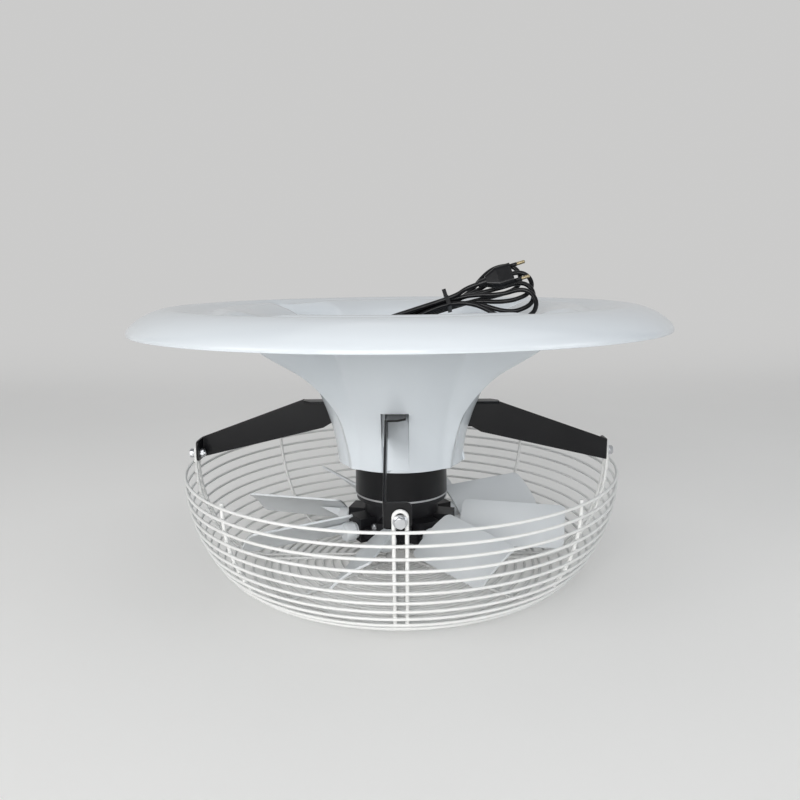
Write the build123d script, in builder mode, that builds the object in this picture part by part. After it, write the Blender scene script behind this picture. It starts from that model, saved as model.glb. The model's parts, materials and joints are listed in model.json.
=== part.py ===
"""Hanging circulation fan: a plastic diffuser dish with a fluted neck, an external
rotor motor under it, eight paddle blades in a clamp hub, and a wire guard on four arms.

The frame stands on the guard's flat bottom: origin at the middle of that bottom,
+Z up, the front arm towards -Y. All lengths are in millimetres, angles in degrees."""

import os
from math import atan2, cos, hypot, pi, radians, sin, tan

from build123d import *

os.makedirs("parts", exist_ok=True)

# Driving dimensions: diffuser
dish_radius = 317.5
brim_width = 43.5
brim_drop = 25.0
lip_length = 2.4
crest_height = 332.4
neck_radius = 83.0
neck_bottom = 139.0
wall = 3.0

# The brim's line from its lip to its crest, as shares of its width and drop
brim_line = [
    (0.000, 0.000), (0.045, 0.165), (0.174, 0.397), (0.370, 0.630), (0.603, 0.826), (0.835, 0.955),
    (1.000, 1.000),
]
# The flare's line as shares of its reach (radius) and rise (height). The flute line
# runs over the arms, the corner line runs half way between two arms.
flute_line = [
    (-0.018, 0.000), (0.004, 0.173), (0.037, 0.299), (0.072, 0.394), (0.115, 0.494), (0.178, 0.625),
    (0.267, 0.762), (0.403, 0.909), (0.644, 0.990), (0.780, 0.961), (1.000, 1.000),
]
corner_line = [
    (0.000, 0.000), (0.037, 0.179), (0.083, 0.315), (0.144, 0.407), (0.235, 0.509), (0.373, 0.625),
    (0.610, 0.762), (0.775, 0.877), (0.877, 0.945), (0.935, 0.978), (1.000, 1.000),
]
# Each corner carries a sharp rib that widens from the neck's rim up to the dish
flute_half_angle = 30.0
rib_foot_angle = 7.0
corner_steps = [0.0, 5.0, 9.0, 12.0, 15.0]

# Driving dimensions: slots and pockets of the neck, where the arms come out
slot_left = -22.5
slot_right = 9.0
slot_top_gap = 0.5
pocket_bottom = 143.0
pocket_ramp_top = 179.0
pocket_depth = 20.0
pocket_wall = 2.5
pocket_wall_gap = 0.3
arm_slit_gap = 0.5
lug_width = 26.0
lug_inner = 66.0
lug_thickness = 3.0

# Driving dimensions: arms, bent from steel strip
arm_count = 4
arm_thickness = 2.5
arm_offset = -17.7
arm_flange_width = 23.5
arm_flange_inner = 30.0
arm_flange_outer = 123.0
arm_flange_cut = 9.0
arm_flange_top = 212.0
arm_web_inner = 70.0
arm_root_height = 31.0
arm_root_reach = 88.0
arm_kink_reach = 100.0
arm_kink_height = 38.0
arm_tab_width = 27.0
arm_tab_top = 163.0
arm_tab_bottom = 137.0
arm_bolt_radii = (45.0, 60.0)
arm_bolt_offset = -6.0

# Driving dimensions: wire guard
ring_wire = 3.4
rib_wire = 4.0
weld_depth = 0.25
guard_flat_radius = 172.0
corner_radius = 72.5
corner_angle = 54.0
side_radius = 174.5
first_ring_run = -1.5
ring_pitch = 13.4
wall_ring_count = 14
floor_ring_outer = 169.5
floor_ring_pitch = 11.2
floor_ring_count = 14
hairpin_gap = 12.3
hairpin_offset = -1.5
hairpin_top = 155.2
guard_bolt_height = 145.8
rib_stand = 4.0
rib_inner = 21.0

# Driving dimensions: fasteners
m6 = 6.0
m6_across_flats = 10.0
m6_head = 5.0
m6_flange = 14.0
m6_flange_height = 1.5
m6_nut = 5.2
m5 = 5.0
m5_across_flats = 8.0
m5_head = 3.6
m5_nut = 4.0
m4 = 4.0
m4_head = 7.0
m4_head_height = 2.6
hole_clearance = 0.25

# Driving dimensions: motor
bell_radius = 58.5
bell_top_radius = 57.2
bell_wall = 3.0
bell_bottom = 97.0
bell_top = 163.0
end_plate = 2.0
end_plate_overhang = 0.3
axle_radius = 8.5
axle_bore = 4.5
axle_bottom = 92.0
running_clearance = 0.05
bearing_outer = 17.5
bearing_width = 10.0
bearing_wall = 3.0
bearing_lip = 2.0
lip_opening = 13.0
upper_bearing = 152.0
circlip_radius = 11.0
circlip_thickness = 1.2
circlip_groove = 0.5
stator_radius = 47.0
air_gap = 0.5
press_gap = 0.05
stator_bottom = 110.0
stator_top = 142.0
slot_count = 12
slot_width = 8.0
slot_inner = 26.0
slot_outer = 42.0
slot_lining = 0.3
winding_height = 5.0
collar_radius = 12.0
collar_height = 6.0
motor_flange_bottom = 173.0
motor_flange_height = 7.0
motor_flange_radius = 55.0
axle_nut = 24.0
axle_nut_height = 8.0
axle_top = 191.0
spacer_radius = 6.0
spacer_circle = 38.0

# Driving dimensions: hub and blades
blade_count = 8
first_blade = 30.4
blade_pitch = 39.0
blade_axis_height = 53.3
blade_lift = 10.0
blade_root_radius = 78.0
blade_tip_radius = 206.0
blade_root_low = -33.0
blade_root_high = 33.0
blade_tip_low = -27.0
blade_tip_high = 33.0
blade_corner = 6.0
blade_thickness = 2.6
blade_camber = 5.0
boss_radius = 12.0
boss_inner = 69.0
boss_outer = 84.0
gusset_reach = 30.0
gusset_width = 8.0
spigot_radius = 10.0
spigot_collar = 12.5
spigot_inner = 37.0
spigot_collar_length = 7.0
spigot_clearance = 0.1
hub_radius = 68.5
hub_ring_radius = 64.5
hub_disc_radius = 57.0
hub_core_radius = 47.0
hub_cavity_radius = 33.0
hub_top = 95.0
hub_flange = 6.0
hub_bottom = 39.0
hub_floor = 3.0
hub_ear = 6.0
clamp_width = 29.0
clamp_rise = 18.0
clamp_drop = 12.0
split_gap = 0.6
hub_bolt_circle = 55.5
hub_screw_circle = 40.0
hub_screw_count = 6
hub_screw_depth = 10.0

# Driving dimensions: plate, wiring and suspension inside the neck
plate_radius = 84.0
plate_thickness = 3.0
lug_screw_circle = 75.0
standing_gap = 8.0
box_length = 44.0
box_width = 56.0
box_height = 20.0
box_x = 51.0
box_wall = 2.0
box_leg = 8.0
box_leg_places = ((40.0, 22.0), (40.0, -22.0), (66.0, 22.0), (66.0, -22.0))
lid_thickness = 2.5
lid_screw_inset = 5.0
lid_post = 8.0
gland_radius = 8.0
gland_hex_height = 5.0
boot_length = 20.0
boot_wall = 1.6
gland_x = 60.0
gland_y = -6.0
cap_radius = 15.0
cap_length = 52.0
cap_x = -44.0
cap_y = 2.0
strap_y = -11.0
strap_width = 16.0
strap_thickness = 2.0
strap_foot = 13.0
lead_hole = 7.0
lead_hole_x = 22.0
rod_radius = 6.0
rod_bottom = 196.0
rod_nut = 19.0
rod_nut_height = 10.0
eye_wire = 10.0
eye_radius = 21.0
eye_height = 250.0
eye_bore = 16.5

# Driving dimensions: mains cord, hank, tie and plug
cord = 5.5
hank_middle = (60.0, 0.0, 331.0)
hank_tilt = 17.0
hank_lean = 20.0
waist_half = 4.0
waist_side = 2.8
waist_pitch = 3.05
lobe_pitch = 4.5
first_strand_start = (-75.0, -6.0)
end_straight = 7.0
# Right lobes: (place along the hank, upper strand's height, lower strand's height)
right_lobes = [(78.0, 31.0, -5.0), (88.0, 15.0, -19.0), (84.0, -1.0, -35.5), (81.0, -12.0, -49.3)]
# Left lobes: (place along the hank, lower strand's height, upper strand's height)
left_lobes = [
    (-161.4, -36.0, 0.0), (-165.4, -38.0, -1.0), (-157.4, -35.0, 1.0), (-163.4, -37.0, -1.0),
    (-159.4, -36.0, 0.0),
]
last_strand_end = (33.0, 6.0, 22.5)
# The free stretch's corners between the gland and the hank
free_corners = [(60.0, -6.0, 290.0), (49.0, -1.0, 304.0)]
free_last_run = 34.0
# The hank's gap to itself is measured on points this far apart, further along than this
gap_step = 1.5
gap_apart = 25.0
tie_width = 4.8
tie_thickness = 1.4
tie_head = 6.5
tie_tail = 7.0
plug_length = 32.0
plug_wide = 26.0
plug_thick = 15.0
plug_sleeve = 10.0
pin_radius = 2.0
pin_length = 19.0
pin_spacing = 19.0

# Sizes worked out from the driving dimensions
crest_radius = dish_radius - brim_width
under_crest = crest_height - wall
lip_top = crest_height - brim_drop
flare_reach = crest_radius - neck_radius
flare_rise = under_crest - neck_bottom
plate_bottom = arm_flange_top
plate_top = plate_bottom + plate_thickness
quarter = 360 / arm_count
front_arm = -90.0
arm_angles = [front_arm + quarter * i for i in range(arm_count)]
corner_angles = [a + quarter / 2 for a in arm_angles]
arm_names = ["front", "right", "back", "left"]
turn = 360 / blade_count
blade_angles = [first_blade + turn * i for i in range(blade_count)]
rib_inset = ring_wire / 2 + rib_wire / 2 - weld_depth
floor_height = ring_wire / 2
corner_centre = floor_height + corner_radius
side_top = corner_centre + (side_radius - corner_radius) * cos(radians(corner_angle))
guard_radius = guard_flat_radius + corner_radius * sin(radians(corner_angle))
guard_radius += side_radius * (1 - sin(radians(corner_angle)))
hairpin_radius = guard_radius - rib_inset
tab_face = hairpin_radius - rib_wire / 2
clamp_face = hairpin_radius + rib_wire / 2
side_run = side_radius * radians(90 - corner_angle)
corner_run = corner_radius * radians(corner_angle)


def radial(azimuth):
    return Vector(cos(radians(azimuth)), sin(radians(azimuth)), 0)


def tangent(azimuth):
    return Vector(-sin(radians(azimuth)), cos(radians(azimuth)), 0)


def side_plane(azimuth, shift=0.0):
    """Upright plane through the axis: local x runs outward, local y up."""
    return Plane(origin=tangent(azimuth) * shift, x_dir=radial(azimuth), z_dir=tangent(azimuth) * -1)


def top_plane(azimuth, height):
    """Level plane: local x runs outward along the azimuth, local y around."""
    return Plane(origin=(0, 0, height), x_dir=radial(azimuth), z_dir=(0, 0, 1))


def end_plane(azimuth, radius, height=0.0):
    """Upright plane facing outward: local x runs around, local y up."""
    return Plane(
        origin=radial(azimuth) * radius + Vector(0, 0, height), x_dir=tangent(azimuth), z_dir=radial(azimuth)
    )


def save(piece, node):
    piece.label = node
    export_step(piece, f"parts/{node}.step")


def hexagon(plane, across_flats):
    with BuildSketch(plane) as outline:
        RegularPolygon(radius=across_flats / 2, side_count=6, major_radius=False)
    return outline.sketch


def disc(plane, radius, bore=0.0):
    with BuildSketch(plane) as outline:
        Circle(radius)
        if bore:
            Circle(bore, mode=Mode.SUBTRACT)
    return outline.sketch


def level(x, y, z):
    return Plane(origin=(x, y, z))


def at_arm(azimuth, reach, offset, z):
    """Level plane at a place given along and across an arm."""
    spot = radial(azimuth) * reach + tangent(azimuth) * offset
    return Plane(origin=(spot.X, spot.Y, z))


def rotated(azimuth, radius, z):
    spot = radial(azimuth) * radius
    return Plane(origin=(spot.X, spot.Y, z), x_dir=radial(azimuth), z_dir=(0, 0, 1))


# Diffuser
def rib_share(past, way):
    """Share of the corner line, at degrees past the flute and a way (0 to 1) along the flare."""
    corner_half_angle = quarter / 2 - flute_half_angle
    half = rib_foot_angle + (corner_half_angle - rib_foot_angle) * way
    return max(0.0, 1 - (corner_half_angle - past) / half)


def flare_points(past):
    """The flare's underside at an angle past the flute: 0 is the flute, the last step the corner."""
    points = []
    for i, ((fr, fz), (cr, cz)) in enumerate(zip(flute_line, corner_line)):
        share = rib_share(past, i / (len(flute_line) - 1))
        r = neck_radius + flare_reach * (fr + share * (cr - fr))
        z = neck_bottom + flare_rise * (fz + share * (cz - fz))
        points.append((r, z))
    return points


def brim_points(inset):
    """The brim's outline from its lip to its crest, moved inward by an inset."""
    points = []
    for across, up in brim_line:
        r = dish_radius - inset - (brim_width - inset) * across
        points.append((r, lip_top + (brim_drop - inset) * up))
    return points


def offset_points(points, distance):
    """The same line moved to its inner side by the wall's thickness."""
    moved = [(points[0][0] - distance, points[0][1])]
    for before, here, after in zip(points, points[1:], points[2:]):
        dr, dz = after[0] - before[0], after[1] - before[1]
        size = hypot(dr, dz)
        moved.append((here[0] - distance * dz / size, here[1] + distance * dr / size))
    moved.append((points[-1][0], points[-1][1] + distance))
    return moved


def diffuser_section(azimuth, past):
    """The wall cut by an upright plane through the axis, neck, flare and brim in one."""
    under = flare_points(past)
    over = offset_points(under, wall)
    outside = brim_points(0)
    inside = brim_points(wall)
    with BuildSketch(side_plane(azimuth)) as section:
        with BuildLine():
            Spline(*under, tangents=((0, 1), (1, 0)))
            Spline(*inside, tangents=((0, 1), (-1, 0)))
            Line(inside[0], (inside[0][0], lip_top - lip_length))
            Line((inside[0][0], lip_top - lip_length), (dish_radius, lip_top - lip_length))
            Line((dish_radius, lip_top - lip_length), outside[0])
            Spline(*outside, tangents=((0, 1), (-1, 0)))
            Spline(*over, tangents=((0, 1), (1, 0)))
            Line(under[0], over[0])
        make_face()
    return section.sketch.face()


def flare_radius(past, height):
    """The underside's radius at a height, between two of its points."""
    points = flare_points(past)
    for (r0, z0), (r1, z1) in zip(points, points[1:]):
        if z0 <= height <= z1:
            return r0 + (r1 - r0) * (height - z0) / (z1 - z0)
    return points[-1][0]


slot_top = arm_flange_top + slot_top_gap
pocket_wall_top = arm_flange_top - arm_thickness - pocket_wall_gap
pocket_floor = flare_radius(0, slot_top) - pocket_depth
pocket_mouth = flare_radius(0, pocket_bottom)


def neck_core():
    """Everything inside the wall's middle, to end the pocket's cheeks within the wall."""
    points = [p for p in offset_points(flare_points(0), wall / 2) if p[1] < slot_top + 30]
    with BuildPart() as core:
        with BuildSketch(Plane.XZ):
            with BuildLine():
                Spline(*points, tangents=((0, 1), (1, 1)))
                Polyline(points[-1], (0, points[-1][1]), (0, points[0][1]), points[0])
            make_face()
        revolve(axis=Axis.Z)
    return core.part


def pocket_cheeks(azimuth):
    """Block behind the slot: a ramp from the rim, a back wall up to the arm, two side walls."""
    low = pocket_bottom - pocket_wall
    slit_low = arm_flange_top - arm_root_height - arm_slit_gap
    with BuildPart() as block:
        with BuildSketch(side_plane(azimuth, slot_right + pocket_wall)):
            Polygon(
                (pocket_mouth - wall, low), (pocket_floor - pocket_wall, pocket_ramp_top - pocket_wall),
                (pocket_floor - pocket_wall, pocket_wall_top), (pocket_floor + pocket_depth, pocket_wall_top),
                (pocket_floor + pocket_depth, low), align=None,
            )
        extrude(amount=slot_right - slot_left + 2 * pocket_wall)
        with BuildSketch(side_plane(azimuth, arm_offset + arm_thickness + arm_slit_gap)):
            Polygon(
                (pocket_floor - pocket_depth, slit_low), (pocket_floor + pocket_depth, slit_low),
                (pocket_floor + pocket_depth, slot_top), (pocket_floor - pocket_depth, slot_top), align=None,
            )
        extrude(amount=arm_thickness + 2 * arm_slit_gap, mode=Mode.SUBTRACT)
    return block.part & neck_inside


def slot_cut(azimuth):
    with BuildPart() as block:
        with BuildSketch(side_plane(azimuth, slot_right)):
            Polygon(
                (pocket_mouth + 1, pocket_bottom), (pocket_floor, pocket_ramp_top), (pocket_floor, slot_top),
                (pocket_floor + 60, slot_top), (pocket_floor + 60, pocket_bottom), align=None,
            )
        extrude(amount=slot_right - slot_left)
    return block.part


def lug(azimuth):
    reach = flare_radius(corner_steps[-1], plate_top + lug_thickness / 2) - wall - 2
    shoulder = reach - 8
    with BuildPart() as block:
        with BuildSketch(top_plane(azimuth, plate_top)):
            Polygon(
                (lug_inner, -lug_width / 2), (shoulder, -lug_width / 2), (reach, -4), (reach, 4),
                (shoulder, lug_width / 2), (lug_inner, lug_width / 2), align=None,
            )
            with Locations((lug_screw_circle, 0)):
                Circle(m5 / 2 + hole_clearance, mode=Mode.SUBTRACT)
        extrude(amount=lug_thickness)
    return block.part


neck_inside = neck_core()

with BuildPart() as diffuser:
    for azimuth in arm_angles:
        first = diffuser_section(azimuth - flute_half_angle, 0)
        revolve(first, axis=Axis.Z, revolution_arc=2 * flute_half_angle)
        for side in (-1, 1):
            sections = []
            for past in corner_steps:
                sections.append(diffuser_section(azimuth + side * (flute_half_angle + past), past))
            loft(sections=sections, ruled=True)
    for azimuth in corner_angles:
        add(lug(azimuth))
    for azimuth in arm_angles:
        add(pocket_cheeks(azimuth))
        add(slot_cut(azimuth), mode=Mode.SUBTRACT)

save(diffuser.part, "diffuser")


# Arms
def make_arm(azimuth):
    far = arm_offset + arm_flange_width
    with BuildPart() as arm:
        with BuildSketch(side_plane(azimuth, arm_offset)):
            Polygon(
                (arm_web_inner, arm_flange_top), (arm_flange_outer, arm_flange_top), (tab_face, arm_tab_top),
                (tab_face, arm_tab_bottom), (arm_kink_reach, arm_flange_top - arm_kink_height),
                (arm_root_reach, arm_flange_top - arm_root_height),
                (arm_web_inner, arm_flange_top - arm_root_height), align=None,
            )
        extrude(amount=-arm_thickness)
        with BuildSketch(top_plane(azimuth, arm_flange_top)):
            Polygon(
                (arm_flange_inner, arm_offset), (arm_flange_outer, arm_offset),
                (arm_flange_outer, far - arm_flange_cut), (arm_flange_outer - arm_flange_cut, far),
                (arm_flange_inner, far), align=None,
            )
        extrude(amount=-arm_thickness)
        with BuildSketch(end_plane(azimuth, tab_face)):
            with Locations((arm_offset + arm_tab_width / 2, (arm_tab_top + arm_tab_bottom) / 2)):
                Rectangle(arm_tab_width, arm_tab_top - arm_tab_bottom)
        extrude(amount=-arm_thickness)
        with BuildSketch(end_plane(azimuth, tab_face)):
            with Locations((hairpin_offset, guard_bolt_height)):
                Circle(m6 / 2 + hole_clearance)
        extrude(amount=-arm_thickness, mode=Mode.SUBTRACT)
        for reach in arm_bolt_radii:
            hole = disc(at_arm(azimuth, reach, arm_bolt_offset, plate_bottom), m6 / 2 + hole_clearance)
            extrude(hole, amount=-arm_thickness, mode=Mode.SUBTRACT)
    return arm.part


for azimuth, side in zip(arm_angles, arm_names):
    arm_part = make_arm(azimuth)
    save(arm_part, f"arm_{side}")


# Fasteners: a hex screw or bolt hangs down from its seat, along the plane's own direction
def bolt(seat, size, across_flats, head, length, flange=0.0, flange_height=0.0):
    """Head on the plane's positive side, shank on its negative side."""
    with BuildPart() as piece:
        extrude(disc(seat, size / 2), amount=-length)
        if flange:
            extrude(disc(seat, flange / 2), amount=flange_height)
        extrude(hexagon(seat.offset(flange_height), across_flats), amount=head)
    return piece.part


def nut(seat, size, across_flats, height):
    with BuildPart() as piece:
        extrude(hexagon(seat, across_flats), amount=height)
        extrude(disc(seat, size / 2 + press_gap), amount=height, mode=Mode.SUBTRACT)
    return piece.part


def pan_screw(seat, size, head, head_height, length):
    with BuildPart() as piece:
        extrude(disc(seat, size / 2), amount=-length)
        extrude(disc(seat, head / 2), amount=head_height)
        chamfer(piece.faces().sort_by(lambda f: (f.center() - seat.origin).dot(seat.z_dir))[-1].edges(), 0.8)
    return piece.part


def group(pieces, node):
    save(Compound(label=node, children=list(pieces)), node)


arm_bolt_pieces = []
arm_nut_pieces = []
for azimuth in arm_angles:
    for reach in arm_bolt_radii:
        top = at_arm(azimuth, reach, arm_bolt_offset, plate_top)
        length = plate_thickness + arm_thickness + m6_nut + 2
        arm_bolt_pieces.append(bolt(top, m6, m6_across_flats, m6_head, length, m6_flange, m6_flange_height))
        under = at_arm(azimuth, reach, arm_bolt_offset, plate_bottom - arm_thickness - m6_nut)
        arm_nut_pieces.append(nut(under, m6, m6_across_flats, m6_nut))
group(arm_bolt_pieces, "arm_bolts")
group(arm_nut_pieces, "arm_nuts")

guard_bolt_pieces = []
guard_nut_pieces = []
for azimuth in arm_angles:
    spot = end_plane(azimuth, clamp_face, guard_bolt_height)
    seat = Plane(origin=spot.origin + tangent(azimuth) * hairpin_offset, x_dir=spot.x_dir, z_dir=spot.z_dir)
    length = rib_wire + arm_thickness + m6_nut + 2
    guard_bolt_pieces.append(bolt(seat, m6, m6_across_flats, m6_head, length, m6_flange, m6_flange_height))
    inner = seat.offset(-rib_wire - arm_thickness - m6_nut)
    guard_nut_pieces.append(nut(inner, m6, m6_across_flats, m6_nut))
group(guard_bolt_pieces, "guard_bolts")
group(guard_nut_pieces, "guard_nuts")


# Wire guard
def guard_spot(run):
    """Radius and height of a ring's middle, a run along the guard's side below its upright top."""
    if run <= side_run:
        lean = radians(90) - run / side_radius
        return guard_radius - side_radius * (1 - sin(lean)), side_top - side_radius * cos(lean)
    if run <= side_run + corner_run:
        lean = radians(corner_angle) - (run - side_run) / corner_radius
        return guard_flat_radius + corner_radius * sin(lean), corner_centre - corner_radius * cos(lean)
    return guard_flat_radius - (run - side_run - corner_run), floor_height


def ring(radius, height):
    with BuildPart() as piece:
        with Locations((0, 0, height)):
            Torus(radius, ring_wire / 2)
    return piece.part


def guard_leg(azimuth, shift, top):
    """One wire inside the rings, from the floor's middle up to a height."""
    plane = side_plane(azimuth, shift)
    low = floor_height + rib_inset
    with BuildPart() as leg:
        with BuildLine(plane):
            Line((rib_inner, low), (guard_flat_radius, low))
            CenterArc((guard_flat_radius, corner_centre), corner_radius - rib_inset, -90, corner_angle)
            CenterArc(
                (guard_radius - side_radius, side_top), side_radius - rib_inset, corner_angle - 90,
                90 - corner_angle,
            )
            Line((hairpin_radius, side_top), (hairpin_radius, top))
        start = radial(azimuth) * rib_inner + tangent(azimuth) * shift + Vector(0, 0, low)
        with BuildSketch(Plane(origin=start, z_dir=radial(azimuth))):
            Circle(rib_wire / 2)
        sweep()
    return leg.part


def hairpin(azimuth):
    loop_height = hairpin_top - hairpin_gap / 2
    with BuildPart() as pin:
        add(guard_leg(azimuth, hairpin_offset - hairpin_gap / 2, loop_height))
        add(guard_leg(azimuth, hairpin_offset + hairpin_gap / 2, loop_height))
        middle = radial(azimuth) * hairpin_radius + tangent(azimuth) * hairpin_offset
        middle += Vector(0, 0, loop_height)
        end = Plane(origin=middle + tangent(azimuth) * (hairpin_gap / 2), z_dir=(0, 0, 1))
        way = tangent(azimuth).cross(Vector(0, 0, 1))
        revolve(disc(end, rib_wire / 2), axis=Axis(middle, way), revolution_arc=180)
    return pin.part


wall_ring_pieces = []
for number in range(wall_ring_count):
    radius, height = guard_spot(first_ring_run + ring_pitch * number)
    wall_ring_pieces.append(ring(radius, height))
group(wall_ring_pieces, "guard_wall_rings")
floor_ring_pieces = []
for number in range(floor_ring_count):
    floor_ring_pieces.append(ring(floor_ring_outer - floor_ring_pitch * number, floor_height))
group(floor_ring_pieces, "guard_floor_rings")
group([hairpin(azimuth) for azimuth in arm_angles], "guard_hairpins")
rib_top = guard_spot(first_ring_run)[1] + rib_stand
group([guard_leg(azimuth, 0, rib_top) for azimuth in corner_angles], "guard_ribs")


# Motor
def turned(points):
    """A piece turned about the fan's axis from its (radius, height) outline."""
    with BuildPart() as piece:
        with BuildSketch(Plane.XZ):
            Polygon(*points, align=None)
        revolve(axis=Axis.Z)
    return piece.part


bell_inner = bell_radius - bell_wall
boss_outer_radius = bearing_outer + bearing_wall
boss_top = upper_bearing + bearing_width + bearing_lip
plate_under = bell_bottom - end_plate
lower_bearing = bell_bottom
rotor_bell = turned([
    (bell_radius, bell_bottom), (bell_top_radius, bell_top), (boss_outer_radius, bell_top),
    (boss_outer_radius, boss_top), (lip_opening, boss_top), (lip_opening, boss_top - bearing_lip),
    (bearing_outer, boss_top - bearing_lip), (bearing_outer, upper_bearing - bearing_lip),
    (boss_outer_radius, upper_bearing - bearing_lip), (boss_outer_radius, bell_top - bell_wall),
    (bell_inner, bell_top - bell_wall), (bell_inner, bell_bottom),
])
save(rotor_bell, "rotor_bell")

with BuildPart() as bell_plate:
    add(turned([
        (lip_opening, plate_under), (bell_radius + end_plate_overhang, plate_under),
        (bell_radius + end_plate_overhang, bell_bottom), (bell_inner - press_gap, bell_bottom),
        (bell_inner - press_gap, bell_bottom + bell_wall), (bell_inner - bell_wall, bell_bottom + bell_wall),
        (bell_inner - bell_wall, bell_bottom), (boss_outer_radius, bell_bottom),
        (boss_outer_radius, lower_bearing + bearing_width), (bearing_outer, lower_bearing + bearing_width),
        (bearing_outer, bell_bottom), (lip_opening, bell_bottom),
    ]))
    with BuildSketch(level(0, 0, plate_under)):
        with PolarLocations(hub_screw_circle, hub_screw_count):
            Circle(m5 / 2 + hole_clearance)
    extrude(amount=end_plate, mode=Mode.SUBTRACT)
save(bell_plate.part, "bell_plate")

bearing_pieces = []
for seat in (lower_bearing, upper_bearing):
    bearing_bore = axle_radius + running_clearance
    bearing_pieces.append(turned([
        (bearing_bore, seat), (bearing_outer, seat), (bearing_outer, seat + bearing_width),
        (bearing_bore, seat + bearing_width),
    ]))
group(bearing_pieces, "bearings")

core_outer = bell_inner - press_gap
core_inner = stator_radius + air_gap
rotor_core = turned([
    (core_inner, stator_bottom - 2), (core_outer, stator_bottom - 2), (core_outer, stator_top + 2),
    (core_inner, stator_top + 2),
])
save(rotor_core, "rotor_core")

groove_top = lower_bearing - 0.1
groove_bottom = groove_top - circlip_thickness
axle_collar = motor_flange_bottom
with BuildPart() as axle:
    add(turned([
        (0, axle_bottom), (axle_radius, axle_bottom), (axle_radius, groove_bottom),
        (axle_radius - circlip_groove, groove_bottom), (axle_radius - circlip_groove, groove_top),
        (axle_radius, groove_top), (axle_radius, axle_collar - collar_height),
        (collar_radius, axle_collar - collar_height), (collar_radius, axle_collar),
        (axle_radius, axle_collar), (axle_radius, axle_top), (axle_bore, axle_top),
        (axle_bore, stator_top), (0, stator_top),
    ]))
    with BuildSketch(end_plane(0, 0, stator_top + winding_height + 2)):
        Circle(axle_bore / 2)
    extrude(amount=collar_radius, mode=Mode.SUBTRACT)
save(axle.part, "axle")

with BuildPart() as circlip:
    with BuildSketch(level(0, 0, groove_bottom)):
        Circle(circlip_radius)
        Circle(axle_radius - circlip_groove, mode=Mode.SUBTRACT)
        with Locations((circlip_radius, 0)):
            Rectangle(circlip_radius, circlip_groove * 8, mode=Mode.SUBTRACT)
    extrude(amount=circlip_thickness)
save(circlip.part, "circlip")

slot_middle = (slot_inner + slot_outer) / 2
slot_reach = slot_outer - slot_inner
with BuildPart() as stator_core:
    with BuildSketch(level(0, 0, stator_bottom)):
        Circle(stator_radius)
        Circle(axle_radius + press_gap, mode=Mode.SUBTRACT)
        with PolarLocations(slot_middle, slot_count):
            Rectangle(slot_reach, slot_width, mode=Mode.SUBTRACT)
    extrude(amount=stator_top - stator_bottom)
save(stator_core.part, "stator_core")

with BuildPart() as windings:
    with BuildSketch(level(0, 0, stator_bottom)):
        with PolarLocations(slot_middle, slot_count):
            Rectangle(slot_reach - 2 * slot_lining, slot_width - 2 * slot_lining)
    extrude(amount=stator_top - stator_bottom)
    for bottom in (stator_bottom - winding_height, stator_top):
        with BuildSketch(level(0, 0, bottom)):
            Circle(slot_outer + 1)
            Circle(slot_inner - 1, mode=Mode.SUBTRACT)
        extrude(amount=winding_height)
save(windings.part, "windings")

spacer_places = [radial(azimuth) * spacer_circle for azimuth in corner_angles]
flange_top = motor_flange_bottom + motor_flange_height
with BuildPart() as motor_flange:
    with BuildSketch(level(0, 0, motor_flange_bottom)):
        Circle(motor_flange_radius)
        Circle(axle_radius + press_gap, mode=Mode.SUBTRACT)
        with Locations(*spacer_places):
            Circle(m6 / 2 + press_gap, mode=Mode.SUBTRACT)
    extrude(amount=motor_flange_height)
save(motor_flange.part, "motor_flange")
save(nut(level(0, 0, flange_top), 2 * axle_radius, axle_nut, axle_nut_height), "axle_nut")

spacer_pieces = []
motor_screw_pieces = []
for spot in spacer_places:
    with BuildPart() as spacer:
        sleeve = disc(level(spot.X, spot.Y, flange_top), spacer_radius, m6 / 2 + hole_clearance)
        extrude(sleeve, amount=plate_bottom - flange_top)
    spacer_pieces.append(spacer.part)
    length = plate_top - motor_flange_bottom - 1
    seat = level(spot.X, spot.Y, plate_top)
    motor_screw_pieces.append(bolt(seat, m6, m6_across_flats, m6_head, length, m6_flange, m6_flange_height))
group(spacer_pieces, "spacers")
group(motor_screw_pieces, "motor_screws")

# Hub, clamped round the blade roots
split_upper = blade_axis_height + split_gap / 2
split_lower = blade_axis_height - split_gap / 2
block_reach = (hub_radius**2 - (clamp_width / 2) ** 2) ** 0.5 - 0.1
gap_angles = [azimuth + turn / 2 for azimuth in blade_angles]


def clamp_block(azimuth, bottom, top):
    middle = (hub_cavity_radius + 4 + block_reach) / 2
    with BuildPart() as block:
        with BuildSketch(top_plane(azimuth, bottom)):
            with Locations((middle, 0)):
                Rectangle(block_reach - hub_cavity_radius - 4, clamp_width)
        extrude(amount=top - bottom)
    return block.part


def root_bore(azimuth):
    """The room of a blade's root: the spigot's bore and the wider pocket of its collar."""
    with BuildPart() as room:
        spot = end_plane(azimuth, hub_cavity_radius - 1, blade_axis_height)
        extrude(disc(spot, spigot_radius + spigot_clearance), amount=hub_radius - hub_cavity_radius + 3)
        pocket = end_plane(azimuth, spigot_inner - spigot_clearance, blade_axis_height)
        room_length = spigot_collar_length + 2 * spigot_clearance
        extrude(disc(pocket, spigot_collar + spigot_clearance), amount=room_length)
    return room.part


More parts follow.
